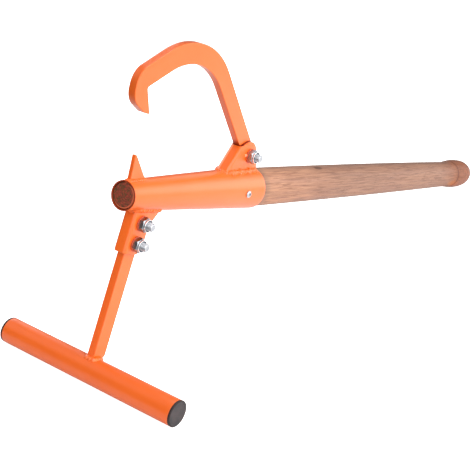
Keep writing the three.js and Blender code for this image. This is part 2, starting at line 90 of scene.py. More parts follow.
def about_y(points, angle, place=(0, 0, 0)):
    """Points turned about Y and moved: x' = x cos a + z sin a and z' = z cos a - x sin a."""
    points = np.asarray(points, float)
    x, y, z = points[..., 0], points[..., 1], points[..., 2]
    c, s = math.cos(angle), math.sin(angle)
    return np.stack([x * c + z * s, y, z * c - x * s], axis=-1) + np.asarray(place)


def heading(v):
    """The angle of a vector in the plane of the tool."""
    return math.atan2(v[2], v[0])


pivot_tool = np.array([pivot_x, 0, socket_radius(pivot_x) + pivot_rise])
foot_tool = np.array([leg_setback, 0, 0])
bar_tool = about_y([-bar_offset, 0, -foot_drop], foot_lean, foot_tool)
pivot_row = np.array(frame["joints"][0]["pos_m"])
bar_row = np.mean([np.array(corner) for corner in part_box("foot_bar")], axis=0)
tilt = heading(bar_tool - pivot_tool) - heading(bar_row - pivot_row)
nose_row = pivot_row - about_y(pivot_tool, tilt)


def of_tool(points):
    """Points of the tool's own frame, in the row's frame."""
    return about_y(points, tilt, nose_row)


def of_pivot(points):
    """Points about the hook's pivot, in the row's frame."""
    return of_tool(np.asarray(points) + pivot_tool)


def of_foot(points):
    """Points of the foot's frame, which leans towards the nose, in the row's frame."""
    return of_tool(about_y(points, foot_lean, foot_tool))


print("tilt in degrees", round(math.degrees(tilt), 3), "nose", nose_row.round(4))

# %% [markdown]
# ## The camera
# The picture was taken from the left and above, in front of the tool's nose, with a long lens. A camera
# could be pointed by eye, but then edges never line up. This one stands where a camera fitted to the
# tool's known circles and corners stands: its place, the directions of its three axes, and its
# focal length in pixels of a 470 pixel frame.

# %% Set the camera
frame_pixels = 470
focal_pixels = 1098.945
centre_pixel = (235.596, 234.028)
sensor = 36
camera_place = (-1.6155, -0.8550, 0.8060)
camera_right = np.array([0.57616, -0.80950, 0.11302])
camera_forward = np.array([0.77430, 0.49630, -0.39260])
camera_up = np.cross(camera_right, camera_forward)

camera_data = bpy.data.cameras.new("camera")
camera_data.sensor_width = sensor
camera_data.lens = sensor * focal_pixels / frame_pixels
camera_data.shift_x = 0.5 - centre_pixel[0] / frame_pixels
camera_data.shift_y = centre_pixel[1] / frame_pixels - 0.5
camera = bpy.data.objects.new("camera", camera_data)
turn = Matrix(np.stack([camera_right, camera_up, -camera_forward], axis=1).tolist())
camera.matrix_world = Matrix.Translation(camera_place) @ turn.to_4x4()
bpy.context.scene.collection.objects.link(camera)
bpy.context.scene.camera = camera
print("lens in mm", round(camera_data.lens, 2))

# %% [markdown]
# ## Surfaces from numbers
# Most pieces of this tool are turned, swept or cut from plate, so a few helpers make them all. A
# surface is a grid of points worked out as whole arrays; `skin` says which four points make each
# face. Poles and seams are closed by merging the points that lie on one another.

# %% Helpers: points, angles and skins
def points_of(*parts):
    """Points from their coordinates, each of them spread out to the shape of the others."""
    return np.stack(np.broadcast_arrays(*parts), axis=-1)


def way_of(angle):
    """The step of length 1 in the direction of an angle: its cosine and its sine."""
    return points_of(np.cos(angle), np.sin(angle))


def full_turn(sides):
    """Angles evenly round a circle."""
    return np.arange(sides) / sides * 2 * np.pi


def quarter_turn(count):
    """Angles evenly from 0 to a right angle."""
    return np.linspace(0, np.pi / 2, count)


def skin(grid, rows_close=False, caps=()):
    """A grid of points as vertices and faces: one face between each four neighbours. Columns join
    up, rows do where they close, and caps puts one flat face on the end rows named."""
    rows, columns = grid.shape[:2]
    number = np.arange(rows * columns).reshape(rows, columns)
    below = np.roll(number, -1, axis=0)
    quads = np.stack([number, below, np.roll(below, -1, axis=1), np.roll(number, -1, axis=1)], axis=-1)
    quads = quads[:rows if rows_close else -1]
    return grid.reshape(-1, 3), quads.reshape(-1, 4).tolist() + [number[row].tolist() for row in caps]


def together(*shapes):
    """Several shapes as one: their points in a row, and their faces counted on."""
    starts = np.cumsum([0] + [len(points) for points, _ in shapes])
    faces = [[n + int(start) for n in face] for start, (_, ring) in zip(starts, shapes) for face in ring]
    return np.concatenate([points for points, _ in shapes]), faces


# %% [markdown]
# An outline on paper is straight lines with a radius at each corner, and a lathe turns such a line
# into a body. Both could be bevelled afterwards, but then the radius of a real part is only guessed
# at. Here every corner brings its own radius, and the arc between its two sides is worked out.

# %% Helpers: arcs and turned bodies
def rounded(corners, closed=True, step=math.radians(4)):
    """An outline whose corners [x, y, radius] are arcs that touch both sides. The arc's centre is
    radius / sin(half the corner's angle) from the corner, along the line that halves the angle."""
    points = []
    count = len(corners)
    for i, (x, y, radius) in enumerate(corners):
        corner = np.array([x, y])
        if radius == 0 or (not closed and i in (0, count - 1)):
            points.append(corner[None])
            continue
        back = np.array(corners[i - 1][:2]) - corner
        on = np.array(corners[(i + 1) % count][:2]) - corner
        back, on = back / np.hypot(*back), on / np.hypot(*on)
        half = math.acos(float(back @ on)) / 2
        middle = (back + on) / np.hypot(*(back + on))
        bend = math.pi - 2 * half
        side = math.copysign(1, on[0] * back[1] - on[1] * back[0])
        steps = max(3, math.ceil(bend / step))
        angle = math.atan2(-middle[1], -middle[0]) + side * bend * (np.arange(steps + 1) / steps - 0.5)
        points.append(corner + middle * radius / math.sin(half) + radius * way_of(angle))
    return np.concatenate(points)


def turned(profile, sides=128, axis="x"):
    """A turned body: each (place, radius) of the profile goes round the axis at radius times cos and sin."""
    s, r = np.asarray(profile, float).T[..., None]
    angle = full_turn(sides)
    one, other = r * np.cos(angle), r * np.sin(angle)
    return points_of(*{"x": [s, one, other], "y": [one, s, -other]}[axis])


def finely(outline, spacing):
    """A closed outline with its long sides cut into steps no longer than the spacing."""
    on = np.roll(outline, -1, axis=0)
    counts = np.maximum(1, np.ceil(np.linalg.norm(on - outline, axis=1) / spacing).astype(int))
    return np.concatenate([a + (b - a) * np.arange(n)[:, None] / n for a, b, n in zip(outline, on, counts)])


# %% [markdown]
# Flat bar and plate show their thickness as a narrow bright line, because a real edge is never
# sharp. A Bevel modifier could round them. Here the rounding is part of the surface: a profile of
# two quarter rounds is carried round the outline, and the flat faces, holes and all, are filled in
# by a Delaunay triangulation.

# %% Helpers: the rim and the filling of a plate
def inward(outline):
    """At each point of a closed outline, the step inwards that keeps both sides parallel:
    the sum of the two sides' normals over one plus their product."""
    on = np.roll(outline, -1, axis=0) - outline
    on = on / np.linalg.norm(on, axis=1, keepdims=True)
    x, y = outline.T
    way = np.sign(np.sum(x * np.roll(y, -1) - y * np.roll(x, -1)))
    normal = way * points_of(-on[:, 1], on[:, 0])
    before = np.roll(normal, 1, axis=0)
    return (normal + before) / (1 + np.sum(normal * before, axis=1, keepdims=True))


def filled(loops, loose):
    """Points and faces that fill the area between an outline and the holes in it, with loose points
    of its own. A face whose corners all lie on one hole would close that hole, so it is left out."""
    points = np.concatenate([*loops, loose])
    starts = np.cumsum([0] + [len(loop) for loop in loops])
    sides = [(a + i, a + (i + 1) % (b - a)) for a, b in zip(starts, starts[1:]) for i in range(b - a)]
    flat, _, faces, came_from, *_ = delaunay_2d_cdt([tuple(p) for p in points], sides, [], 1, 1e-9)
    loop_of = np.repeat([*range(len(loops)), 0], [*map(len, loops), len(loose)])
    owner = np.array([loop_of[given[0]] if given else 0 for given in came_from])
    kept = [list(face) for face in faces if len(set(owner[list(face)])) > 1 or owner[face[0]] == 0]
    return np.array([tuple(p) for p in flat]), kept


def ring_of(radius, x=0.0, z=0.0, sides=48):
    """A circle in the plane of the plate, for a hole."""
    return [x, z] + radius * way_of(full_turn(sides))


# %% Helper: a plate with rounded edges
shy = 0.07 * MM
edge_steps = 5
flat_share = 1.5
ring_share = 1.2


def edged_plate(outline, thickness, edge, holes=(), loose=np.zeros((0, 2))):
    """A flat plate across the tool. Its rim profile is (edge - edge sin t, half - edge + edge cos t),
    a quarter round on either side, set inwards from the outline by its first number and, so that
    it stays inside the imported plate, shy of it. Round each hole a narrow flat ring keeps what
    belongs to the hole's edge from spreading over the face."""
    t = quarter_turn(edge_steps)
    inset = shy + edge * (1 - np.sin(t))
    up = thickness / 2 - edge * (1 - np.cos(t))
    inset = np.r_[edge * flat_share, inset, inset[::-1], edge * flat_share]
    up = np.r_[up[0], up, -up[::-1], -up[0]]
    place = outline[None] + inset[:, None, None] * inward(outline)[None]
    rim = np.insert(place, 1, np.broadcast_to(up[:, None], place.shape[:2]), axis=2)
    wider = [hole.mean(axis=0) + (hole - hole.mean(axis=0)) * ring_share for hole in holes]
    flat, faces = filled([place[0], *wider], loose)

    def lifted(points, side):
        """Points of the plate's plane on one of its two faces."""
        return np.insert(points, 1, side * thickness / 2, axis=1)

    bores = [skin(np.stack([lifted(wide, 1), lifted(hole, 1), lifted(hole, -1), lifted(wide, -1)]))
             for wide, hole in zip(wider, holes)]
    return together(skin(rim), (lifted(flat, 1), faces), (lifted(flat, -1), faces), *bores)


# %% [markdown]
# ## From a surface to a piece
# Every piece goes through the same bench: it is put in place, its doubled points are merged, its
# normals are turned outwards, and corners sharper than a set angle stay crisp while the rest is
# shaded smooth. A worn edge is a matter of shape, so each vertex also gets a number that says how
# far the surface bends away there; the paint and the metal read it later.

# %% Helper: how far a surface bends away
def numbers_of(items, name, width, kind=float):
    """One property of every vertex, edge or face as an array with a row for each."""
    flat = np.empty(len(items) * width, kind)
    items.foreach_get(name, flat)
    return flat.reshape(-1, width)


def bend_of(mesh):
    """For each vertex, how far its neighbours fall away below its tangent plane: the mean of the
    unit vectors to them times the normal, turned about. Flat is 0 and a rounded edge about 0.1."""
    place = numbers_of(mesh.vertices, "co", 3)
    normal = numbers_of(mesh.vertex_normals, "vector", 3)
    a, b = numbers_of(mesh.edges, "vertices", 2, int).T
    step = place[b] - place[a]
    step /= np.maximum(np.linalg.norm(step, axis=1, keepdims=True), 1e-12)
    fall, met = np.zeros(len(place)), np.zeros(len(place))
    np.add.at(fall, a, -np.sum(step * normal[a], axis=1))
    np.add.at(fall, b, np.sum(step * normal[b], axis=1))
    np.add.at(met, a, 1)
    np.add.at(met, b, 1)
    return fall / np.maximum(met, 1)


# %% Helper: make, dress and ride a piece
doubles_within = 2e-6
slivers_under = 1e-7
made_triangles = {}


def piece(name, shape, place, slot, finish, stands_for=(), body="lifter", crisp=35, **marks):
    """A finished piece: placed, merged, faced outwards, shaded, painted, riding on its body. Each
    mark gives a number to every point: besides the edge, one says how much painted shade a point
    takes, and another how much painted light or painted highlight."""
    points, faces = shape
    mesh = bpy.data.meshes.new(name)
    mesh.from_pydata(place(points).tolist(), [], faces)
    soft = bmesh.new()
    soft.from_mesh(mesh)
    bmesh.ops.remove_doubles(soft, verts=soft.verts, dist=doubles_within)
    bmesh.ops.dissolve_degenerate(soft, edges=soft.edges, dist=slivers_under)
    bmesh.ops.recalc_face_normals(soft, faces=soft.faces)
    soft.to_mesh(mesh)
    soft.free()
    corners = numbers_of(mesh.polygons, "loop_total", 1, int).ravel()
    mesh.polygons.foreach_set("use_smooth", (corners <= 4).tolist())
    mesh.set_sharp_from_angle(angle=math.radians(crisp))
    at = numbers_of(mesh.vertices, "co", 3)
    for mark, amount in {"edge": bend_of(mesh), **marks}.items():
        amount = amount(at) if callable(amount) else np.broadcast_to(amount, len(at))
        written = mesh.attributes.new(mark, "FLOAT", "POINT")
        written.data.foreach_set("value", amount.astype(np.float32))
    mesh.materials.append(finish)
    made = bpy.data.objects.new(name, mesh)
    bpy.context.scene.collection.objects.link(made)
    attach(made, body)
    if stands_for:
        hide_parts(*stands_for)
    mesh.calc_loop_triangles()
    made_triangles[name] = len(mesh.loop_triangles)
    print(name, made_triangles[name], "triangles")


# %% [markdown]
# ## Nodes without the clutter
# A material is a graph of nodes. A few small helpers place a node and set its sockets by name, so that
# each finish below reads like a recipe: one tone laid over another, where a mask says so.

# %% Helpers: nodes and their sums
def fill(tree, socket, value):
    """Puts a value into a socket, or a link if it is another node's output."""
    if isinstance(value, bpy.types.NodeSocket):
        tree.links.new(value, socket)
    else:
        socket.default_value = value


def node(tree, kind, settings, *values, **named):
    """Places a node with its settings. Values fill its sockets in their order, or by their names."""
    made = tree.nodes.new("ShaderNode" + kind)
    for name, value in settings.items():
        setattr(made, name, value)
    for socket, value in zip(made.inputs, values):
        fill(tree, socket, value)
    for name, value in named.items():
        fill(tree, made.inputs[name.replace("_", " ")], value)
    return made


def sum_of(tree, operation, *values, clamp=False):
    """A Math node's result."""
    return node(tree, "Math", {"operation": operation, "use_clamp": clamp}, *values).outputs[0]


def times(tree, first, second):
    """One number times another."""
    return sum_of(tree, "MULTIPLY", first, second)


def vector_of(tree, operation, *values):
    """A Vector Math node's result: a number for a length or a distance, and else a vector."""
    made = node(tree, "VectorMath", {"operation": operation}, *values)
    return made.outputs["Value" if operation in ("LENGTH", "DISTANCE") else "Vector"]


def ranged(tree, value, low, high, to_low=0.0, to_high=1.0):
    """A value carried smoothly from one range to another."""
    return node(tree, "MapRange", {"interpolation_type": "SMOOTHSTEP"}, Value=value, From_Min=low,
                From_Max=high, To_Min=to_low, To_Max=to_high).outputs[0]


def marked(tree, mark):
    """The number that each vertex of a piece carries under a mark's name."""
    return node(tree, "Attribute", {"attribute_name": mark}).outputs["Fac"]


# %% Helpers: tones, groups and materials
def colour(*rgb):
    """A colour given as a screen shows it, 0 to 255, in the linear light that shaders use."""
    share = np.array(rgb) / 255
    linear = np.where(share <= 0.04045, share / 12.92, ((share + 0.055) / 1.055) ** 2.4)
    return (*linear.tolist(), 1.0)


def blend(tree, share, first, second, way="MIX"):
    """Two colours mixed. A Mix node keeps its colours in sockets 6 and 7 and its result in 2."""
    made = node(tree, "Mix", {"data_type": "RGBA", "blend_type": way}, share)
    fill(tree, made.inputs[6], first)
    fill(tree, made.inputs[7], second)
    return made.outputs[2]


def tinted(tree, under, mask, share, rgb):
    """A tone over the one under it, where a mask says and never at more than its share."""
    return blend(tree, times(tree, mask, share), under, colour(*rgb))


def group(name, inputs, outputs):
    """An empty shader node group: (tree, what it is given, what it gives)."""
    tree = bpy.data.node_groups.new(name, "ShaderNodeTree")
    kinds = {"value": "NodeSocketFloat", "colour": "NodeSocketColor", "vector": "NodeSocketVector"}
    for way, wanted in (("INPUT", inputs), ("OUTPUT", outputs)):
        for label, kind in wanted.items():
            tree.interface.new_socket(label, in_out=way, socket_type=kinds[kind])
    return tree, tree.nodes.new("NodeGroupInput").outputs, tree.nodes.new("NodeGroupOutput").inputs


def use(tree, group_tree, **sockets):
    """A group placed in a material with its own values, and what it gives there."""
    return node(tree, "Group", {"node_tree": group_tree}, **sockets).outputs


def material(name):
    """A new material: (material, its tree, its shader, the Object coordinates of a piece)."""
    made = bpy.data.materials.new(name)
    made.use_nodes = True
    tree = made.node_tree
    return made, tree, tree.nodes["Principled BSDF"], node(tree, "TexCoord", {}).outputs["Object"]


def dress(tree, shader, tone, roughness, height, strength, depth):
    """What every finish sets: a tone, a roughness, and a bump of a height, strength and depth."""
    bump = node(tree, "Bump", {}, Height=height, Strength=strength, Distance=depth).outputs[0]
    fill(tree, shader.inputs["Base Color"], tone)
    fill(tree, shader.inputs["Roughness"], roughness)
    fill(tree, shader.inputs["Normal"], bump)


# %% [markdown]
# ## Effects that several finishes share
# Paint, plastic, metal and wood all vary a little from place to place, carry a fine texture that
# catches the light, and wear along their edges. Each effect is one node group, placed in every
# material that needs it with its own values. They give only colours, masks and heights; the shader
# itself stays in the material, where the export can read it.

# %% Shared groups: cloudy colour and fine skin
cloudy, given, gives = group(
    "cloudy_colour",
    {"Place": "vector", "Spots per metre": "value", "First": "colour", "Second": "colour",
     "Contrast": "value"},
    {"Colour": "colour", "Cloud": "value"})
noise = node(cloudy, "TexNoise", {}, Vector=given["Place"], Scale=given["Spots per metre"],
             Detail=5.0, Roughness=0.55).outputs[0]
spread = times(cloudy, sum_of(cloudy, "SUBTRACT", noise, 0.5), given["Contrast"])
cloud = sum_of(cloudy, "ADD", spread, 0.5, clamp=True)
fill(cloudy, gives["Colour"], blend(cloudy, cloud, given["First"], given["Second"]))
fill(cloudy, gives["Cloud"], cloud)

fine_skin, given, gives = group(
    "fine_skin", {"Place": "vector", "Grains per metre": "value", "Waves per metre": "value"},
    {"Height": "value", "Grain": "value"})
grain = node(fine_skin, "TexNoise", {}, Vector=given["Place"], Scale=given["Grains per metre"],
             Detail=2.0).outputs[0]
waves = node(fine_skin, "TexNoise", {}, Vector=given["Place"], Scale=given["Waves per metre"],
             Detail=1.0).outputs[0]
fill(fine_skin, gives["Height"], sum_of(fine_skin, "ADD", times(fine_skin, grain, 0.35), waves))
fill(fine_skin, gives["Grain"], grain)

# %% Shared groups: worn edges and streaks
fully_worn_after = 0.07
worn_edges, given, gives = group(
    "worn_edges", {"Place": "vector", "From bend": "value", "Patchiness": "value"}, {"Mask": "value"})
patches = node(worn_edges, "TexNoise", {}, Vector=given["Place"], Scale=260.0, Detail=4.0).outputs[0]
uneven = times(worn_edges, patches, given["Patchiness"])
bend = sum_of(worn_edges, "SUBTRACT", marked(worn_edges, "edge"), uneven)
fully_worn = sum_of(worn_edges, "ADD", given["From bend"], fully_worn_after)
fill(worn_edges, gives["Mask"], ranged(worn_edges, bend, given["From bend"], fully_worn))

streaks, given, gives = group(
    "streaks",
    {"Place": "vector", "Along": "value", "Across": "value", "Low": "value", "High": "value"},
    {"Mask": "value"})
stretch = node(streaks, "CombineXYZ", {}, given["Along"], given["Across"], given["Across"]).outputs[0]
drawn_out = vector_of(streaks, "MULTIPLY", given["Place"], stretch)
lines = node(streaks, "TexNoise", {}, Vector=drawn_out, Scale=1.0, Detail=4.0, Roughness=0.6).outputs[0]
fill(streaks, gives["Mask"], ranged(streaks, lines, given["Low"], given["High"]))
print("groups", [tree.name for tree in bpy.data.node_groups])

# %% [markdown]
# ## Orange powder coat
# The steel is sprayed with powder and baked. The film is glossy but not flat: it has the soft
# ripple called orange peel, it is a shade deeper where it pooled, and thinner and duller along the
# edges. One flat orange would read as plastic, so the colour drifts between two near oranges, a
# few dust specks and rubs break the gloss, and the bump carries the ripple. Where a piece's marks
# say, shade is painted into the colour as a deep dark red with little coat, and a painted highlight
# as a pale pink. At the rim of a round form the tone turns browner by the angle to the eye: painted
# shade in the colour, not sheen, so it goes with the view and a baked model loses it.

# %% Material: powder coat
powder_coat, tree, shader, place = material("orange_powder_coat")
ripple, grain = use(tree, fine_skin, Place=place, Grains_per_metre=1500.0, Waves_per_metre=420.0)
worn = use(tree, worn_edges, Place=place, From_bend=0.075, Patchiness=0.05)["Mask"]
rubs = use(tree, streaks, Place=place, Along=35.0, Across=160.0, Low=0.66, High=0.8)["Mask"]
dust = node(tree, "TexVoronoi", {}, Vector=place, Scale=130.0, Randomness=1.0).outputs["Distance"]
painted_shade_mask = marked(tree, "tucked")
turned_away = node(tree, "LayerWeight", {}, Blend=0.5).outputs["Facing"]
at_a_rim = ranged(tree, turned_away, 0.66, 0.96)
tone = use(tree, cloudy, Place=place, Spots_per_metre=22.0, First=colour(238, 101, 20),
           Second=colour(243, 107, 27), Contrast=1.6)["Colour"]
tone = tinted(tree, tone, worn, 0.35, (226, 84, 24))
tone = tinted(tree, tone, ranged(tree, dust, 0.05, 0.02), 0.35, (190, 66, 20))
# Painted highlight: a pale pink where a piece's mark of painted light says.
tone = blend(tree, marked(tree, "rubbed"), tone, colour(250, 158, 118))
# Painted shade at the rim of a round form, by the angle to the eye.
tone = tinted(tree, tone, at_a_rim, 0.4, (150, 74, 40))
# Painted shade: a deep dark red where a piece's shade mark says, with less coat there.
tone = tinted(tree, tone, ranged(tree, painted_shade_mask, 0.08, 0.42), 0.94, (122, 30, 5))
gloss = sum_of(tree, "ADD", ranged(tree, grain, 0.3, 0.7, 0.30, 0.38), times(tree, rubs, 0.12))
dress(tree, shader, tone, gloss, ripple, strength=0.10, depth=0.6 * MM)
fill(tree, shader.inputs["Coat Weight"], ranged(tree, painted_shade_mask, 0.08, 0.42, 0.33, 0.0))
shader.inputs["Coat Roughness"].default_value = 0.3


def painted(name, shape, place, *stands_for, **more):
    """A piece in the powder coat."""
    piece(name, shape, place, "paint", powder_coat, stands_for, **more)


print("nodes in the powder coat", len(tree.nodes))

# %% [markdown]
# ## The socket
# A cone of 2 mm steel with rolled lips, open at both ends. It could be a scaled cylinder, but its
# two lips catch the light as thin rings, so its closed wall outline, with small rounds at all four
# corners, is turned round the axis.

# %% Make the socket
socket_wall = 2 * MM
lip_radius = 0.7 * MM
nose_shade = 0.34
nose_face_depth = 0.4 * MM


def wall_outline(start, start_radius, end, end_radius, wall, lip):
    """The closed outline of a turned wall, its four corners rounded."""
    corners = [(start, start_radius), (end, end_radius),
               (end, end_radius - wall), (start, start_radius - wall)]
    return rounded([(s, r, lip) for s, r in corners], step=math.radians(20))


def inside_nose(points):
    """Painted shade on the socket's end face at the nose and on its inside there."""
    at = points - nose_row
    along = at @ about_y([1, 0, 0], tilt)
    radius = np.sqrt(np.maximum(0, np.sum(at * at, axis=1) - along ** 2))
    inner = radius < socket_radius(along) - socket_wall / 2
    return np.where((along < socket_length / 2) & (inner | (along < nose_face_depth)), nose_shade, 0)


socket_line = wall_outline(0, nose_radius, socket_length, mouth_radius, socket_wall, lip_radius)
painted("painted_socket", skin(turned(finely(socket_line, 6 * MM), 160), rows_close=True), of_tool,
        "socket_tube", tucked=inside_nose)

# %% [markdown]
# ## Wood
# The handle is a turned hardwood pole, sanded and clear sealed: pinkish brown, with fibres that run
# its whole length, short dark pores, and broad bands where the growth rings come to the surface. A
# flat image of wood would show a seam and no end grain. A solid pattern has neither fault: the
# coordinates are turned into the pole's own axis by a Mapping node, so that the same rings make the
# long grain and the circles at the end.

# %% Lengths of the handle
overall_length = 1219 * MM
mouth_fit = 0.3 * MM
nose_fit = 1.1 * MM
nose_recess = 1 * MM
belly_radius = 30.6 * MM
neck_radius = 26.4 * MM
neck_to_end = 126 * MM
knob_radius = 30 * MM
knob_to_end = 74 * MM
ridge_to_end = 103 * MM
ridge_to_groove = 2.5 * MM
handle_nose = nose_radius - socket_wall - nose_fit
handle_mouth = mouth_radius - socket_wall - mouth_fit
ridge_x = overall_length - ridge_to_end
groove_x = ridge_x + ridge_to_groove
print("handle's radius at the nose and at the mouth in mm", handle_nose / MM, handle_mouth / MM)

# %% Wood: its axis, fibres and rings
wood, tree, shader, place = material("turned_hardwood")
axis_place = node(tree, "Mapping", {"vector_type": "POINT"}, Vector=place, Rotation=(0, -tilt, 0),
                  Location=tuple(-about_y(nose_row, -tilt))).outputs[0]
wood_x, wood_y, wood_z = node(tree, "SeparateXYZ", {}, axis_place).outputs


def lines_along(along, across, low, high):
    """A mask of fine lines along the pole, with so many to a metre along it and across it."""
    return use(tree, streaks, Place=axis_place, Along=along, Across=across, Low=low, High=high)["Mask"]


fibre = lines_along(17.0, 540.0, 0.4, 0.6)
strand = lines_along(5.0, 170.0, 0.3, 0.7)
pores = lines_along(32.0, 640.0, 0.57, 0.65)
fleck = lines_along(19.0, 340.0, 0.5, 0.62)

ring_width = 3.4 * MM
pith_y, pith_z = -6 * MM, 4 * MM
ring_warp = 12 * MM
warp = node(tree, "TexNoise", {}, Vector=axis_place, Scale=9.0, Detail=2.0).outputs[0]
from_pith = node(tree, "CombineXYZ", {}, 0.0, sum_of(tree, "ADD", wood_y, -pith_y),
                 sum_of(tree, "ADD", wood_z, -pith_z)).outputs[0]
bent_reach = sum_of(tree, "ADD", vector_of(tree, "LENGTH", from_pith), times(tree, warp, ring_warp))
rings = ranged(tree, sum_of(tree, "SINE", times(tree, bent_reach, 2 * math.pi / ring_width)), -0.9, 0.95)

tone = use(tree, cloudy, Place=axis_place, Spots_per_metre=7.0, First=colour(153, 113, 91),
           Second=colour(138, 98, 80), Contrast=2.0)["Colour"]
for mask, share, rgb in (
        (rings, 0.22, (129, 88, 68)),
        (strand, 0.45, (175, 134, 108)),
        (fibre, 0.5, (116, 80, 63)),
        (fleck, 0.45, (104, 68, 53)),
        (pores, 0.45, (82, 50, 40))):
    tone = tinted(tree, tone, mask, share, rgb)
print("growth rings", round(handle_mouth / ring_width, 1), "from the middle to the belly")

# %% [markdown]
# At the nose the saw cut across the rings, and the end grain drank the finish and went dark, with
# open pits between the rings. Red paint from the socket crept over the lower near edge. The noise is
# read a little off its own lattice, because on a flat cut through the lattice it would go pale.

# %% Wood: the end grain
off_lattice = vector_of(tree, "ADD", axis_place, (0.0137, 0.0213, 0.0171))
pits = use(tree, cloudy, Place=off_lattice, Spots_per_metre=520.0, Contrast=7.0)["Cloud"]
end_tone = use(tree, cloudy, Place=off_lattice, Spots_per_metre=380.0, First=colour(172, 70, 50),
               Second=colour(96, 76, 36), Contrast=6.0)["Colour"]
end_tone = tinted(tree, end_tone, pits, 0.5, (60, 38, 30))
end_tone = tinted(tree, end_tone, rings, 0.45, (92, 34, 26))
from_axis = vector_of(tree, "LENGTH", node(tree, "CombineXYZ", {}, 0.0, wood_y, wood_z).outputs[0])
at_rim = ranged(tree, from_axis, handle_nose - 2.4 * MM, handle_nose - 1.6 * MM)
leaning = sum_of(tree, "ADD", wood_y, times(tree, wood_z, 0.7))
near_low = ranged(tree, leaning, 10 * MM, -8 * MM)
end_tone = tinted(tree, end_tone, times(tree, at_rim, near_low), 0.85, (206, 100, 66))
is_end = ranged(tree, wood_x, 2.2 * MM, 1.6 * MM)
print("end grain within", round(handle_nose / MM, 2), "mm of the axis")

# %% [markdown]
# A used pole also tells where it has been: a resin stain and a small knot, a mottled knob, a
# darker line in the turner's groove, a paler end by the socket and a darker one where hands go.
# These could be painted by hand. Here each is a distance from a spot, or a stretch of the length,
# so it keeps to its place whatever the size of the pole.

# %% Wood: stain, knot, knob and groove
along_share = 0.35
stain_x = overall_length - 112 * MM
knot_x = 508 * MM
squeezed = vector_of(tree, "MULTIPLY", axis_place, (along_share, 1, 1))


def far_from(x, y, z):
    """How far each point is from a spot, with the way along the pole counted for about a third."""
    return vector_of(tree, "DISTANCE", squeezed, (along_share * x, y, z))


stain = sum_of(tree, "ADD", far_from(stain_x, -23 * MM, -14 * MM), times(tree, warp, 4 * MM))
tone = tinted(tree, tone, ranged(tree, stain, 14 * MM, 7 * MM), 0.6, (176, 112, 40))
knot = ranged(tree, far_from(knot_x, -8 * MM, 29 * MM), 6 * MM, 3 * MM)
tone = tinted(tree, tone, knot, 0.9, (84, 52, 36))
mottled = use(tree, cloudy, Place=off_lattice, Spots_per_metre=150.0, First=colour(112, 74, 54),
              Second=colour(190, 136, 100), Contrast=5.0)["Colour"]
tone = blend(tree, ranged(tree, wood_x, ridge_x, overall_length - 30 * MM, 0.0, 0.5), tone, mottled)
from_groove = sum_of(tree, "ABSOLUTE", sum_of(tree, "SUBTRACT", wood_x, groove_x))
tone = tinted(tree, tone, ranged(tree, from_groove, 4 * MM, 1.2 * MM), 0.85, (100, 58, 42))

# %% Wood: light and dark stretches, and the finish
fresh = ranged(tree, wood_x, socket_length + 340 * MM, socket_length - 30 * MM)
# Painted light: the underside of the pole is made paler, as light from below would make it.
underside = ranged(tree, wood_z, -4 * MM, -24 * MM)
handled = ranged(tree, wood_x, overall_length - 220 * MM, overall_length - 50 * MM)
for mask, change in (
        (fresh, (1.48, 1.4, 1.28, 1)),
        (underside, (1.3, 1.24, 1.2, 1)),
        (handled, (0.74, 0.44, 0.26, 1))):
    tone = blend(tree, mask, tone, change, "MULTIPLY")
# Painted shade: darker just out of the socket's mouth.
mouth_shade = ranged(tree, wood_x, socket_length + 26 * MM, socket_length)
tone = tinted(tree, tone, mouth_shade, 0.5, (104, 82, 70))
# Painted shade: darker at a rim by the angle to the eye, as on the paint, so this tone goes with the view
# too.
turned_away = node(tree, "LayerWeight", {}, Blend=0.5).outputs["Facing"]
tone = tinted(tree, tone, ranged(tree, turned_away, 0.66, 0.95), 0.5, (84, 64, 54))
relief = sum_of(tree, "ADD", times(tree, fibre, -0.35), times(tree, pores, -1.0))
dress(tree, shader, blend(tree, is_end, tone, end_tone), ranged(tree, strand, 0.0, 1.0, 0.5, 0.62),
      relief, strength=0.35, depth=0.5 * MM)
shader.inputs["Specular IOR Level"].default_value = 0.35
print("nodes in the wood", len(tree.nodes))

# %% [markdown]
# ## The handle
# A lathe follows one line: out of the socket's mouth, over a long belly, down to the neck, out to the
# knob and round its end. Three Bezier curves give that line. The turner's tool leaves a faint ridge
# where the flare meets the ball of the knob, and a groove behind it, so a narrow bump is added to the
# radius there and another is taken off.

# %% Make the handle
belly_share = 0.58
neck_pull = 0.4
knob_pull = 0.45
dome_share = 0.62
dome_width = 0.83
dome_shy = 0.45 * MM
ridge_width = 1.8 * MM
ridge_height = 0.4 * MM


def bezier(points, steps):
    """A Bezier curve: at each step, neighbouring points are mixed until one is left."""
    t = np.linspace(0, 1, steps + 1)[:, None, None]
    rest = np.broadcast_to(np.array(points, float), (steps + 1, len(points), 2))
    for _ in points[1:]:
        rest = rest[:, :-1] * (1 - t) + rest[:, 1:] * t
    return rest[:, 0]


def bump_at(x, middle):
    """A narrow bump: e to the power of minus the square of the distance over its width."""
    return ridge_height * np.exp(-((x - middle) / ridge_width) ** 2)


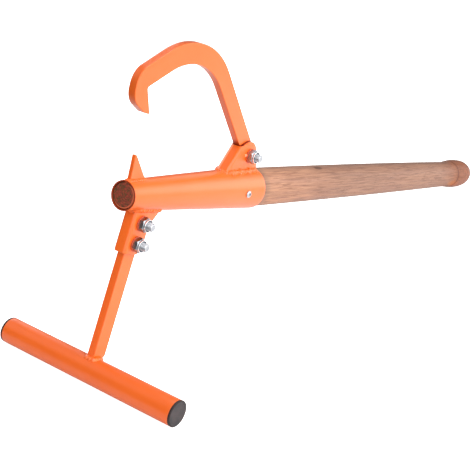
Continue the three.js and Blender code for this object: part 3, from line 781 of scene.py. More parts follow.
neck_x = overall_length - neck_to_end
knob_x = overall_length - knob_to_end
end_x = overall_length - dome_shy
flare = knob_x - neck_x
body_line = bezier([(socket_length, handle_mouth),
                    (socket_length + (neck_x - socket_length) * belly_share, belly_radius),
                    (neck_x, neck_radius)], 90)
flare_line = bezier([(neck_x, neck_radius), (neck_x + flare * neck_pull, neck_radius),
                     (knob_x - flare * knob_pull, knob_radius), (knob_x, knob_radius)], 60)
dome_line = bezier([(knob_x, knob_radius), (knob_x + knob_to_end * dome_share, knob_radius),
                    (end_x, knob_radius * dome_width), (end_x, 0)], 40)
outside = np.concatenate([body_line, flare_line[1:], dome_line[1:]])
turning = bump_at(outside[:, 0], ridge_x) - bump_at(outside[:, 0], groove_x)
outside[:, 1] += (turning - shy) * (outside[:, 1] > 0)
nose_line = rounded([(nose_recess, 0, 0), (nose_recess, handle_nose, 0.8 * MM),
                     (socket_length, handle_mouth, 0)], closed=False)
nose_face = bezier(nose_line[:2], 13)[:-1]
inside_line = bezier(nose_line[-2:], 29)[1:-1]
handle_line = np.concatenate([nose_face, nose_line[1:-1], inside_line, outside])
piece("wooden_handle", skin(turned(handle_line, 128)), of_tool, "wood", wood, ["handle"])

# %% [markdown]
# ## Zinc plate
# Bolts, nuts and screws are bright zinc plate: a mirror with a faint haze, fine turning marks and
# duller, cloudy patches. The washers were sprayed over with the steel round them, so the same recipe
# gives them an orange mist, which also stands as a painted reflection of the orange ears. A single
# grey metal would do for neither.

# %% Materials: bright and oversprayed zinc
def zinc_plate(name, spots, first, second, contrast, wear_and_highlight_share, wear_and_highlight_rgb, roughness, metallic):
    """Cloudy plate, lighter on its edges, part wear and part painted highlight, with painted light
    and painted shade where a piece's marks say. The roughness goes from its first number to its
    second as the cloud thickens."""
    made, tree, shader, place = material(name)
    tone, cloud = use(tree, cloudy, Place=place, Spots_per_metre=spots, First=colour(*first),
                      Second=colour(*second), Contrast=contrast)
    worn = use(tree, worn_edges, Place=place, From_bend=0.06, Patchiness=0.05)["Mask"]
    tone = tinted(tree, tone, worn, wear_and_highlight_share, wear_and_highlight_rgb)
    tone = blend(tree, marked(tree, "rubbed"), tone, colour(252, 252, 253))
    tone = tinted(tree, tone, marked(tree, "tucked"), 0.75, (54, 60, 74))
    marks = use(tree, fine_skin, Place=place, Grains_per_metre=3200.0, Waves_per_metre=700.0)["Height"]
    dress(tree, shader, tone, ranged(tree, cloud, 0.0, 1.0, *roughness), marks, strength=0.12,
          depth=0.3 * MM)
    shader.inputs["Metallic"].default_value = metallic
    print(name, "nodes", len(tree.nodes))
    return made


zinc = zinc_plate("bright_zinc", 240.0, (172, 174, 179), (138, 143, 153), 2.2, wear_and_highlight_share=0.45,
                  wear_and_highlight_rgb=(242, 243, 246), roughness=(0.22, 0.36), metallic=1.0)
painted_zinc = zinc_plate("overspray_and_reflection_zinc", 420.0, (222, 96, 54), (158, 84, 70), 3.0, wear_and_highlight_share=0.5,
                          wear_and_highlight_rgb=(200, 170, 160), roughness=(0.34, 0.22), metallic=0.15)

# %% [markdown]
# ## The screws in the socket
# Each is a pan head with a cross recess. A recess could be cut out with a Boolean, but that leaves
# ragged faces. Here the head is a height over a disc, one ring of points after another: a quarter of
# an ellipse for the pan, less the depth of the cross wherever the point lies inside either bar.

# %% Make the screws
seat_gap = 0.3 * MM
screw_setback = 45 * MM
screw_radius = 2.5 * MM
screw_length = 26 * MM
screw_point = 4 * MM
screw_head_radius = 5.5 * MM
screw_head_height = 3.2 * MM
screw_head_rim = 0.5 * MM
cross_width = 1.5 * MM
cross_length = 6.6 * MM
cross_depth = 1.5 * MM
cross_soft = 0.25 * MM
cross_turn = 0.6


def in_cross(u, v):
    """1 inside either of two crossed bars, fading to 0 at their sides."""
    c, s = math.cos(cross_turn), math.sin(cross_turn)
    u, v = u * c - v * s, u * s + v * c
    one = np.maximum(np.abs(u) - cross_length / 2, np.abs(v) - cross_width / 2)
    other = np.maximum(np.abs(v) - cross_length / 2, np.abs(u) - cross_width / 2)
    return np.clip(0.5 - np.minimum(one, other) / cross_soft, 0, 1)


def cross_screw():
    """A screw along Y whose head stands over y = 0. The pan's height is the rim's, and above it
    the rest times sqrt(1 - (r / radius)^2), less the recess."""
    share = np.sin(quarter_turn(46))[:, None]
    u, v = np.moveaxis(share[..., None] * screw_head_radius * way_of(full_turn(120)), -1, 0)
    pan = screw_head_rim + (screw_head_height - screw_head_rim) * np.sqrt(np.maximum(0, 1 - share ** 2))
    top = points_of(u, pan - cross_depth * in_cross(u, v) * (1 - share ** 2), v)
    side = turned([(0, screw_head_radius), (0, screw_radius), (screw_point - screw_length, screw_radius),
                   (-screw_length, 0)], 120, "y")
    return skin(np.concatenate([top, side * [1, 1, -1]]))


def recessed(points):
    """1 in the cross of a screw's head, which takes painted shade."""
    at = about_y(points - nose_row, -tilt)
    return in_cross(at[:, 0] - screw_x, at[:, 2])


screw_x = socket_length - screw_setback
screw_seat = socket_radius(screw_x) + seat_gap
points, faces = cross_screw()
# Each screw takes painted shade in its cross and a little painted light all over.
for name, side in (("near", -1), ("far", 1)):
    seated = points * [1, side, 1] + [screw_x, side * screw_seat, 0]
    piece(f"{name}_cross_screw", (seated, faces), of_tool, "zinc", zinc, [f"{name}_handle_screw"],
          crisp=50, tucked=recessed, rubbed=0.3)

# %% [markdown]
# ## The spike
# A triangle of 6 mm plate stands on the nose with a small flat at its point. It could be a wedge
# pushed into the cone. Its foot follows the cone instead, a little below the surface, where the weld
# hides the joint.

# %% Make the spike
sink = 0.5 * MM
spike_thickness = 6 * MM
spike_setback = 5 * MM
spike_height = 35 * MM
spike_foot = 32.5 * MM
spike_tip = 3 * MM
spike_edge = 0.6 * MM
spike_rear = spike_setback + spike_foot
spike_top = socket_radius(spike_setback) + spike_height
spike_line = rounded([
    (spike_setback, socket_radius(spike_setback) - sink, 0),
    (spike_rear, socket_radius(spike_rear) - sink, 0),
    (spike_setback + spike_tip, spike_top, 1.2 * MM),
    (spike_setback, spike_top, 0.9 * MM)])
painted("painted_spike", edged_plate(spike_line, spike_thickness, spike_edge), of_tool, "spike")

# %% [markdown]
# ## The hook
# A flat bar, 25 by 12 mm, is bent over a crown, brow and chin and cut to a beak. A curve drawn by eye
# would wobble where a bar can't. So its outline runs along straight sides joined by arcs, and each
# corner is a share of the hook's reach and rise. The eye is a disc round the pivot: the outline
# leaves the shank's inner side where it meets the disc and goes round the disc to the back.

# %% The hook's outline
hook_thickness = 12 * MM
hook_reach = 303.5 * MM
hook_rise = 187 * MM
hook_eye_radius = 16.5 * MM
hook_inner_offset = 9.3 * MM
crown_share = (0.544, 1)
inner_crown_share = (0.55, 0.813)
hook_corners = [
    # share of the reach forward, share of the rise up, radius in millimetres
    (*crown_share, 125), (1, 0.598, 30), (1, 0.398, 24), (0.907, 0.317, 3), (0.867, 0.307, 1.5),
    (0.92, 0.496, 3), (*inner_crown_share, 104)]


def tangent_foot(point, radius, side):
    """Where a line from a point touches a circle about the pivot: the angle of the point, less or
    plus the angle whose cosine is radius over distance."""
    return radius * way_of(math.atan2(point[1], point[0]) - side * math.acos(radius / math.hypot(*point)))


def hook_place(forward_share, up_share):
    """A corner of the hook, from its shares of the reach and the rise."""
    return np.array([-hook_reach * forward_share, hook_rise * up_share])


inner_crown = hook_place(*inner_crown_share)
inner_foot = tangent_foot(inner_crown, hook_inner_offset, -1)
along_shank = (inner_crown - inner_foot) / np.linalg.norm(inner_crown - inner_foot)
eye_meets = inner_foot + along_shank * math.sqrt(hook_eye_radius ** 2 - hook_inner_offset ** 2)
eye_leaves = tangent_foot(hook_place(*crown_share), hook_eye_radius, 1)
eye_from = math.atan2(eye_meets[1], eye_meets[0])
eye_to = math.atan2(eye_leaves[1], eye_leaves[0]) + 2 * math.pi
eye_arc = hook_eye_radius * way_of(np.linspace(eye_from, eye_to, 60)[1:-1])
bent_bar = rounded([(*eye_meets, 0), (*eye_leaves, 0)]
                   + [(*hook_place(x, z), radius * MM) for x, z, radius in hook_corners])
hook_line = np.concatenate([bent_bar[:1], eye_arc, bent_bar[1:]])
print("hook outline points", len(hook_line))

# %% [markdown]
# The hook's foot is hidden between the clevis's ears, and the shade there is painted onto it as a
# dark tone. That painted shade has to end exactly where the ears do, so their outline comes first,
# as three lines: the web's, the top that slopes up from the hook's inner side, and the rear.

# %% The outline of the clevis's ears
clevis_lean = math.radians(34)
clevis_web_to_pivot = 30.7 * MM
clevis_top_slope = math.radians(22)
clevis_rear_lean = math.radians(22)
clevis_rear_reach = 28.5 * MM
clevis_ear_radius = 22.5 * MM
ear_below_socket = 6 * MM
upright = np.array([0.0, 1.0])


def meet(a, a_distance, b, b_distance):
    """Where two lines meet, each all points whose product with a unit normal is the distance."""
    area = a[0] * b[1] - a[1] * b[0]
    return np.array([(a_distance * b[1] - b_distance * a[1]) / area,
                     (b_distance * a[0] - a_distance * b[0]) / area])


back_way = way_of(clevis_lean) * [1, -1]
up_way = np.array([math.sin(clevis_lean), math.cos(clevis_lean)])
web_side = -back_way
web_foot = web_side * clevis_web_to_pivot
hook_side = inner_foot / hook_inner_offset
rear_side = way_of(clevis_rear_lean)
rear_distance = clevis_rear_reach * rear_side[0] - pivot_rise * rear_side[1]
top_side = np.array([-math.sin(clevis_top_slope), math.cos(clevis_top_slope)])
web_top = meet(web_side, clevis_web_to_pivot, hook_side, hook_inner_offset + seat_gap)
ear_corner = meet(top_side, float(web_top @ top_side), rear_side, rear_distance)
ear_end = meet(rear_side, rear_distance, upright, -pivot_rise - ear_below_socket)
ear_top = rounded([(*web_top, 0), (*ear_corner, clevis_ear_radius), (*ear_end, 0)], closed=False)
ear_top_back = (ear_top - web_foot) @ back_way
ear_top_up = (ear_top - web_foot) @ up_way
print("ear's corner from the pivot in mm", (ear_corner / MM).round(1))

# %% [markdown]
# The hook's plate is flat, so its triangles are large, and a mark at their corners would smear
# across the whole shank. Loose points just above and below the ears' edge give the mark its line.

# %% Cut the hook's plate
bolt_radius = 6 * MM
bar_edge = 0.9 * MM
loose_margin = 1.6 * MM
shade_fade_flat, shade_fade_narrow = 2.4 * MM, 4.5 * MM
shade_within = 45 * MM
narrow_side_shade = 0.19
shank_back, above_ear = np.meshgrid(np.linspace(-4, 34, 27) * MM, np.array([-1, 0.3, 1.2, 2.2, 3.5, 6]) * MM)
shank_up = np.interp(shank_back, ear_top_back, ear_top_up) + above_ear
shank_points = (web_foot + shank_back[..., None] * back_way + shank_up[..., None] * up_way).reshape(-1, 2)
within = ((shank_points @ hook_side < hook_inner_offset - loose_margin)
          & (shank_points @ (eye_leaves / hook_eye_radius) < hook_eye_radius - loose_margin))
hook_plate = edged_plate(finely(hook_line, 2 * MM), hook_thickness, bar_edge,
                         [ring_of(bolt_radius + seat_gap)], shank_points[within])


def near_ears(points):
    """Painted shade: 1 where the hook is between the ears, and half that just above their top edge,
    fading out over a shorter way on its flat sides than on its narrow ones, which take a little
    painted shade all along."""
    at = about_y(points - pivot_row, -tilt)
    flat = at[:, [0, 2]] - web_foot
    above = flat @ up_way - np.interp(flat @ back_way, ear_top_back, ear_top_up)
    on_side = np.abs(at[:, 1]) > hook_thickness / 2 - bar_edge / 2
    fading = 0.5 * np.clip(1 - above / np.where(on_side, shade_fade_flat, shade_fade_narrow), 0, 1)
    by_pivot = np.linalg.norm(at, axis=1) < shade_within
    return np.maximum(np.where(above < 0, 1, fading) * by_pivot, np.where(on_side, 0, narrow_side_shade))


painted("painted_hook", hook_plate, of_pivot, "hook", body="hook_arm", tucked=near_ears)

# %% [markdown]
# ## The clevis
# A strip of 4 mm plate is folded to a U: the web in front, an ear on either side of the hook. Folded
# plate has a round outside at each bend, which a box with bevels never quite gets. So the U is
# walked as a path seen from above, and at each station the plate's own section, a tall narrow
# rectangle with rounded corners, is set up: its top follows the ear's outline and its foot the cone.

# %% Helpers: plate carried along a path
def rounded_sections(corners, radius, steps=3):
    """Sections with rounded corners. corners is (stations, corners, 2). Each corner gives way to the
    quadratic curve (1 - t)^2 start + 2 t (1 - t) corner + t^2 end, start and end a radius away and
    never past the middle of a side."""
    def towards(other):
        """The place a radius away from each corner on the way to another."""
        way = other - corners
        length = np.linalg.norm(way, axis=2, keepdims=True)
        return corners + way / length * np.minimum(radius, length * 0.45)

    start = towards(np.roll(corners, 1, axis=1))[:, :, None]
    end = towards(np.roll(corners, -1, axis=1))[:, :, None]
    t = np.linspace(0, 1, steps + 1)[:, None]
    curve = (1 - t) ** 2 * start + 2 * t * (1 - t) * corners[:, :, None] + t ** 2 * end
    return curve.reshape(len(corners), -1, 2)


def u_path(depth, half, bend, straight_steps=30, bend_steps=10, web_steps=15):
    """A U seen from above, from the near ear's end round the web to the far ear's: places (x, y) on
    the outside and the step across the plate to its inside."""
    angle = quarter_turn(bend_steps)[1:-1]
    sine, cosine = np.sin(angle), np.cos(angle)
    ear = points_of(bend + (depth - bend) * np.linspace(1, 0, straight_steps) ** 1.2, -half)
    ear_step = np.broadcast_to([0.0, 1.0], ear.shape)
    corner = points_of(bend - bend * sine, bend - half - bend * cosine)
    corner_step = points_of(sine, cosine)
    web = points_of(0, np.linspace(bend - half, half - bend, web_steps))
    web_step = np.broadcast_to([1.0, 0.0], web.shape)
    mirror = [1, -1]
    places = [ear, corner, web, corner[::-1] * mirror, ear[::-1] * mirror]
    steps = [ear_step, corner_step, web_step, corner_step[::-1] * mirror, ear_step[::-1] * mirror]
    return np.concatenate(places), np.concatenate(steps)


# %% [markdown]
# The foot of each section has to stand on the cone, and the ears end where their sloping outline
# comes down to it. Both could be solved on paper. It is simpler to step towards the cone by the
# distance still missing, over and over, for all points at once.

# %% Where the clevis meets the cone
plate_thickness = 4 * MM
outer_bend = 5 * MM
hook_side_fit = 0.5 * MM
section_round = 0.8 * MM
least_ear = 1.2 * MM
cone_steps = 40
clevis_half = hook_thickness / 2 + hook_side_fit + plate_thickness


def clevis_point(back, y, up):
    """A point of the clevis from how far it is behind the web and up along it."""
    flat = web_foot + back[..., None] * back_way + up[..., None] * up_way
    return np.insert(flat, 1, y, axis=-1)


def cone_height(back, y):
    """How far up the web's direction the cone's surface lies, found by stepping towards it."""
    up = np.full_like(back, -40 * MM)
    for _ in range(cone_steps):
        at = clevis_point(back, y, up) + pivot_tool
        up = up - np.hypot(at[..., 1], at[..., 2]) + (socket_radius(at[..., 0]) - sink)
    return up


tries = np.linspace(0, ear_top_back[-1], 400)
ear_height = np.interp(tries, ear_top_back, ear_top_up) - cone_height(tries, -clevis_half)
clevis_depth = tries[ear_height > least_ear][-1]
print("clevis's ears in mm, from the web to their end on the cone", round(clevis_depth / MM, 1))

# %% Make the clevis
path, across = u_path(clevis_depth, clevis_half, outer_bend)
tops, feet = [], []
for back, y in (path.T, (path + across * plate_thickness).T):
    ear = np.interp(back, ear_top_back, ear_top_up)
    below_shank = hook_inner_offset + seat_gap - web_foot @ hook_side - back * (back_way @ hook_side)
    under_hook = np.abs(y) < clevis_half - plate_thickness - 0.01 * MM
    tops.append(np.where(under_hook, np.minimum(ear, below_shank / (up_way @ hook_side)), ear))
    feet.append(cone_height(back, y))
section = np.stack([points_of(0, feet[0]), points_of(0, tops[0]), points_of(plate_thickness, tops[1]),
                    points_of(plate_thickness, feet[1])], axis=1)
loops = rounded_sections(section, section_round)
flat_place = path[:, None] + across[:, None] * loops[..., :1]
clevis_grid = clevis_point(flat_place[..., 0], flat_place[..., 1], loops[..., 1])


def inside_fold(front, inwards, half):
    """Painted shade for a folded U, 0 on its outside and 1 on its inside: how deep a point lies behind
    the near or far ear's face or the web's, whichever is nearest, from 0.8 mm to 3 mm."""
    def depth_in(points):
        """The smaller of a point's depths behind an ear's face and behind the web's, from 0 to 1."""
        depth = np.minimum(half - np.abs(points[:, 1]), (points - front) @ inwards)
        return np.clip((depth - 0.8 * MM) / (2.2 * MM), 0, 1)

    return depth_in


def far_bend(points):
    """A painted highlight: 1 along the outside of the far bend, which lies to the light at the back, and 0
    elsewhere.
    """
    depth = (points - clevis_front_point) @ clevis_inwards
    on_far_side = np.clip((points[:, 1] - 4.2 * MM) / (0.8 * MM), 0, 1)
    return on_far_side * np.clip(1 - (depth - 3 * MM) / (1 * MM), 0, 1)


clevis_front_point = of_pivot([web_foot[0], 0, web_foot[1]])
clevis_inwards = about_y([back_way[0], 0, back_way[1]], tilt)
painted("painted_clevis", skin(clevis_grid, caps=(0, -1)), of_pivot, "hook_clevis", crisp=40,
        rubbed=far_bend, tucked=inside_fold(clevis_front_point, clevis_inwards, clevis_half))

# %% [markdown]
# ## The foot bracket
# The same kind of folded plate hangs under the nose and takes the leg. Here the ears end in a
# different place at each height: a rounded lower corner, a straight rear edge and a gusset that
# spreads out under the socket. So this U is stacked level by level, like slices, and the top
# slices are held at the cone's underside.

# %% The bracket's rear edge and its levels
leg_depth = 25 * MM
leg_thickness = 12 * MM
leg_fit = 0.4 * MM
leg_front_fit = 2 * MM
foot_bolt_drop = 16 * MM
foot_bolt_spacing = 29 * MM
bracket_rear_margin = 5.5 * MM
bracket_end = 15.5 * MM
bracket_end_radius = 14 * MM
bracket_edge = 0.7 * MM
bracket_top = -17 * MM
gusset_drop = 2.5 * MM
gusset_slope = math.radians(55)
gusset_radius = 12 * MM
bracket_half = leg_thickness / 2 + leg_fit + plate_thickness
bracket_front = -(leg_depth / 2 + leg_front_fit + plate_thickness)
bracket_rear = leg_depth / 2 + bracket_rear_margin
bolt_heights = [-(socket_radius(leg_setback) + foot_bolt_drop + n * foot_bolt_spacing) for n in (0, 1)]
bracket_bottom = bolt_heights[1] - bracket_end
gusset_height = bolt_heights[0] - gusset_drop


def under_cone(x, y, deep=sink):
    """The height of the socket's underside in the foot's frame, found by stepping towards it."""
    z = np.full_like(x, -nose_radius)
    for _ in range(cone_steps):
        at = about_y(points_of(x, y, z), foot_lean, foot_tool)
        z = z + np.hypot(at[..., 1], at[..., 2]) - (socket_radius(at[..., 0]) - deep)
    return z


gusset_run = np.linspace(bracket_rear, bracket_rear + 60 * MM, 600)
gusset_line = gusset_height + (gusset_run - bracket_rear) * math.tan(gusset_slope)
gusset_meets = gusset_run[np.argmax(gusset_line > under_cone(gusset_run, bracket_half))]
gusset_top = bracket_rear - gusset_height / math.tan(gusset_slope)
rear_x, rear_z = rounded([
    (bracket_front, bracket_bottom, 0), (bracket_rear, bracket_bottom, bracket_end_radius),
    (bracket_rear, gusset_height, gusset_radius), (gusset_top, 0, 0)], closed=False)[1:].T
levels = np.unique(np.concatenate([
    bracket_bottom + bracket_edge * (1 - np.cos(quarter_turn(5))),
    rear_z[rear_z > bracket_bottom + bracket_edge],
    np.linspace(bracket_bottom + 3 * MM, bracket_top, 26)]))
levels = levels[levels <= bracket_top]
rears = np.minimum(np.interp(levels, rear_z, rear_x), gusset_meets)
above_bottom = np.clip(levels - bracket_bottom, 0, bracket_edge)
inset = bracket_edge - np.sqrt(np.maximum(0, bracket_edge ** 2 - (bracket_edge - above_bottom) ** 2))
print("levels of the bracket", len(levels))


# %% Make the foot bracket
def u_slices(front, rears, half, wall, bend, inset, edge):
    """For each slice, the closed outline of a U whose ears end at its own rear, drawn in all round
    by its own inset: the inside of the bend, the ear's end with its two rounds, the outside of the
    bend, and all of it again on the far side."""
    rear, inset = (rears - inset)[:, None], inset[:, None]
    sine, cosine = np.sin(quarter_turn(4)), np.cos(quarter_turn(4))
    outer, inner = half - inset, half - wall + inset
    end_x = rear - edge + edge * sine
    outer_end = points_of(end_x, -outer + edge - edge * cosine)
    inner_end = points_of(end_x, -inner - edge + edge * cosine)

    def bend_of_radius(radius):
        """A quarter round about the bend's centre for each slice."""
        angle = quarter_turn(10)
        return points_of(front + bend - radius * np.sin(angle), bend - half - radius * np.cos(angle))

    inner_turn, outer_turn = bend_of_radius(bend - wall + inset), bend_of_radius(bend - inset)
    loop = np.concatenate([inner_turn[:, ::-1], inner_end, outer_end[:, ::-1], outer_turn], axis=1)
    return np.concatenate([loop, loop[:, ::-1] * [1, -1]], axis=1)


slices = u_slices(bracket_front, rears, bracket_half, plate_thickness, outer_bend, inset, bracket_edge)
ceiling = under_cone(slices[..., 0], slices[..., 1])
bracket_grid = np.insert(slices, 2, np.minimum(levels[:, None], ceiling), axis=2)
bracket_front_point = of_foot([bracket_front, 0, 0])
bracket_inwards = about_y([1, 0, 0], foot_lean + tilt)
painted("painted_bracket", skin(bracket_grid, caps=(0, -1)), of_foot, "foot_bracket", crisp=40,
        tucked=inside_fold(bracket_front_point, bracket_inwards, bracket_half))

# %% [markdown]
# ## The leg and the foot bar
# The leg is a length of the same flat bar as the hook, its rear lower corner cut off, and its end
# follows the round of the bar that it is welded to. The end could be left straight and pushed into
# the bar, but then the two would overlap, so the round of the bar is part of its outline. The foot
# bar is a 38 mm tube, and it takes a little painted shade all over, a shade darker than elsewhere.

# %% Make the leg
leg_chamfer = 7 * MM
leg_top_gap = 4 * MM
bar_radius = 19 * MM
bar_rest = np.linspace(-leg_depth / 2, leg_depth / 2 - leg_chamfer, 12)
leg_end = -foot_drop + np.sqrt((bar_radius - sink) ** 2 - (bar_rest + bar_offset) ** 2)
leg_top = -(socket_radius(leg_setback + leg_depth / 2) + leg_top_gap)
leg_line = np.concatenate([
    [[-leg_depth / 2, leg_top]],
    points_of(bar_rest, leg_end),
    [[leg_depth / 2, leg_end[-1] + leg_chamfer], [leg_depth / 2, leg_top]]])
leg_holes = [ring_of(bolt_radius + seat_gap, 0, height) for height in bolt_heights]
painted("painted_leg", edged_plate(leg_line, leg_thickness, bar_edge, leg_holes), of_foot, "foot_leg")

# %% Make the foot bar
bar_length = 304 * MM
bar_wall = 2 * MM
bar_lip = 0.5 * MM
bar_shade = 0.17
bar_outside = bar_radius - shy


def of_bar(points):
    """Points about the middle of the foot bar, in the row's frame."""
    return of_foot(np.asarray(points) + [-bar_offset, 0, -foot_drop])


bar_line = wall_outline(-bar_length / 2, bar_outside, bar_length / 2, bar_outside, bar_wall, bar_lip)
painted("painted_foot_bar", skin(turned(finely(bar_line, 8 * MM), 128, "y"), rows_close=True), of_bar,
        "foot_bar", tucked=bar_shade)

# %% [markdown]
# ## The caps
# A plastic plug with a rounded flange closes either end of the bar. The plastic is moulded, with a
# fine matt grain and a shine where it is handled, and painted shade makes its outer rim a reddish black.
# The plug is hollow behind, as such plugs are, so that its turned outline goes in and out again.

# %% Material: black plastic
black_plastic, tree, shader, place = material("black_moulded_plastic")
tone = use(tree, cloudy, Place=place, Spots_per_metre=75.0, First=colour(58, 48, 49),
           Second=colour(31, 31, 35), Contrast=3.5)["Colour"]
height, grain = use(tree, fine_skin, Place=place, Grains_per_metre=2600.0, Waves_per_metre=900.0)
worn = use(tree, worn_edges, Place=place, From_bend=0.06, Patchiness=0.06)["Mask"]
tone = tinted(tree, tone, worn, 0.4, (30, 30, 32))
# Painted shade on the cap's rim, a reddish black.
tone = blend(tree, marked(tree, "tucked"), tone, colour(26, 10, 9))
dress(tree, shader, tone, ranged(tree, grain, 0.3, 0.7, 0.42, 0.6), height, strength=0.25, depth=0.4 * MM)
print("nodes in the black plastic", len(tree.nodes))

# %% Make the caps
cap_flange = 3 * MM
cap_plug_length = 18 * MM
cap_wall = 2 * MM
cap_rim = 3.2 * MM
cap_dish = 0.35 * MM
cap_edge = 1.3 * MM
cap_seat = bar_length / 2 + seat_gap
cap_face = cap_seat + cap_flange
plug_end = cap_seat - cap_plug_length
plug_radius = bar_radius - bar_wall - seat_gap
cap_line = rounded([
    (cap_seat - cap_wall, 0, 0),
    (cap_seat - cap_wall, plug_radius - cap_wall, 0.4 * MM),
    (plug_end, plug_radius - cap_wall, 0.4 * MM),
    (plug_end, plug_radius, 0.6 * MM),
    (cap_seat, plug_radius, 0.2 * MM),
    (cap_seat, bar_outside, 0.3 * MM),
    (cap_face, bar_outside, 1.1 * MM),
    (cap_face, bar_radius - cap_rim, 0.4 * MM),
    (cap_face - cap_dish, bar_radius - cap_rim - 0.5 * MM, 0.4 * MM),
    (cap_face - cap_dish, 0, 0)], closed=False, step=math.radians(15))


def on_cap_edge(points):
    """1 on the outermost edge of a cap, which takes painted shade."""
    from_bar_axis = np.linalg.norm((points - bar_row)[:, [0, 2]], axis=1)
    return np.where(from_bar_axis > bar_radius - cap_edge, 1.0, 0.0)


for name, side in (("near", -1), ("far", 1)):
    piece(f"{name}_plastic_cap", skin(turned(cap_line, 96, "y") * [1, side, 1]), of_bar, "black_plastic",
          black_plastic, [f"{name}_end_cap"], crisp=50, tucked=on_cap_edge)

# %% [markdown]
# ## Bolts, washers and lock nuts
# A nut blank is turned on a lathe and then milled to a hexagon. That is also the formula: at each
# angle the radius is the lesser of the turned profile's and the hexagon's, and the curved corners
# come by themselves. A thread is a radius that dips once each turn and climbs one pitch as it goes
# round, fading out where the bolt's point is chamfered. The ring in each lock nut is nylon.

# %% Material: nylon
# The nylon is white: its dark blue-grey tone is painted shade, for the ring lies in the collar.
nylon, tree, shader, place = material("white_nylon")
tone = use(tree, cloudy, Place=place, Spots_per_metre=300.0, First=colour(104, 114, 134),
           Second=colour(84, 94, 114), Contrast=2.0)["Colour"]
height, grain = use(tree, fine_skin, Place=place, Grains_per_metre=2500.0, Waves_per_metre=800.0)
dress(tree, shader, tone, ranged(tree, grain, 0.3, 0.7, 0.35, 0.5), height, strength=0.15, depth=0.3 * MM)
print("materials", len(bpy.data.materials))

# %% Nut, ring and washer
hex_flat = 9.5 * MM
nut_hex_height = 7.2 * MM
nut_collar_height = 2.6 * MM
nut_collar_radius = 8.8 * MM
nut_lip = 0.8 * MM
washer_radius = 11 * MM
washer_thickness = 2.5 * MM
bore = bolt_radius + seat_gap
nut_top = nut_hex_height + nut_collar_height
nut_room = nut_collar_radius - nut_lip
hair = 0.1 * MM


def hexagon_radius(sides):
    """The distance to a hexagon's side at each angle: half the width over cos of the angle from the
    middle of that side. Its corners lie on the Z axis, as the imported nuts' do."""
    from_middle = np.mod(full_turn(sides) + np.pi / 6, np.pi / 3) - np.pi / 6
    return hex_flat / np.cos(from_middle)


def nut_shape(sides=120):
    """A lock nut on the plane y = 0, its collar towards -Y: a turned profile held within a hexagon."""
    corner = hex_flat / math.cos(math.pi / 6)
    fall = (corner - hex_flat + 0.2 * MM) * math.tan(math.radians(30))
    profile = finely(rounded([
        (0, bore, 0.2 * MM), (0, hex_flat - 0.3 * MM, 0.2 * MM), (fall, corner + hair, hair),
        (nut_hex_height - 2 * fall, corner + hair, hair), (nut_hex_height, hex_flat - 0.4 * MM, 0.3 * MM),
        (nut_hex_height, nut_collar_radius, 0.4 * MM), (nut_top, nut_collar_radius, 0.5 * MM),
        (nut_top, nut_room - nut_lip / 4, hair), (nut_top - nut_lip, nut_room - nut_lip / 4, hair),
        (nut_top - nut_lip, nut_room, hair), (nut_hex_height, nut_room, hair),
        (nut_hex_height, bore, hair)], step=math.radians(18)), 0.6 * MM)
    milled = np.minimum(profile[:, 1:], hexagon_radius(sides)) / profile[:, 1:]
    return skin(turned(profile * [-1, 1], sides, "y") * points_of(milled, 1, milled), rows_close=True)


def turned_ring(start, end, inner, outer, edge, sides):
    """A ring along Y with its four corners rounded: a washer, or the nylon in a nut."""
    corners = [(start, inner), (start, outer), (end, outer), (end, inner)]
    outline = rounded([(s, r, edge) for s, r in corners], step=math.radians(20))
    return skin(turned(outline, sides, "y"), rows_close=True)


washer = turned_ring(0, -washer_thickness, bore, washer_radius, 0.35 * MM, 96)
nylon_ring = turned_ring(-(nut_hex_height + seat_gap), -(nut_top - nut_lip - 0.7 * MM),
                         bolt_radius + hair, nut_room - seat_gap, 0.2 * MM, 72)
nut = nut_shape()
print("points in a nut", len(nut[0]))

# %% The bolt and its thread
bolt_head_radius = 11 * MM
bolt_head_height = 4.5 * MM
bolt_head_rim = 1 * MM
bolt_past_nut = 7.7 * MM
thread_pitch = 1.75 * MM
thread_depth = 0.9 * MM
thread_length = 20 * MM
thread_fade = 3 * MM
point_radius = 2.4 * MM
point_chamfer = 1.2 * MM


def bolt_shape(seat, point, sides=64):
    """A bolt along Y with a domed head at its seat and a thread at its point. The thread's depth is a
    triangle wave of y / pitch less the angle's share of a turn."""
    head = rounded([(seat, bolt_radius, 0.3 * MM), (seat, bolt_head_radius, 0.3 * MM),
                    (seat + bolt_head_rim, bolt_head_radius, 0.3 * MM)], closed=False)
    rise = quarter_turn(14)
    dome = points_of(seat + bolt_head_rim + (bolt_head_height - bolt_head_rim) * np.sin(rise),
                     bolt_head_radius * np.cos(rise))
    dome[-1, 1] = 0
    threaded = np.linspace(point, point + thread_length, 150)[:, None]
    wave = np.mod(threaded / thread_pitch - np.arange(sides) / sides, 1)
    dip = thread_depth * np.clip(1.15 - 2.6 * np.abs(wave - 0.5), 0, 1)
    fade = np.clip((threaded[-1] - threaded) / thread_fade, 0, 1)
    chamfer = bolt_radius - point_chamfer + (threaded - point)
    radius = np.minimum(bolt_radius - dip * fade, chamfer)
    shank = turned(np.insert(threaded, 1, 1, axis=1), sides, "y") * points_of(radius, 1, radius)
    tip = turned([(point, 0), (point, point_radius)], sides, "y")
    return skin(np.concatenate([tip, shank, turned(np.concatenate([head, dome[1:]]), sides, "y")]))


# %% [markdown]
# The three bolts are alike, so one function puts a bolt through a pair of ears with its washer, nut
# and ring. The roots of the thread and the inside of the collar take painted shade, and the collar's
# rolled edge a painted highlight: each is a distance from the bolt's axis, so it needs no drawn map.

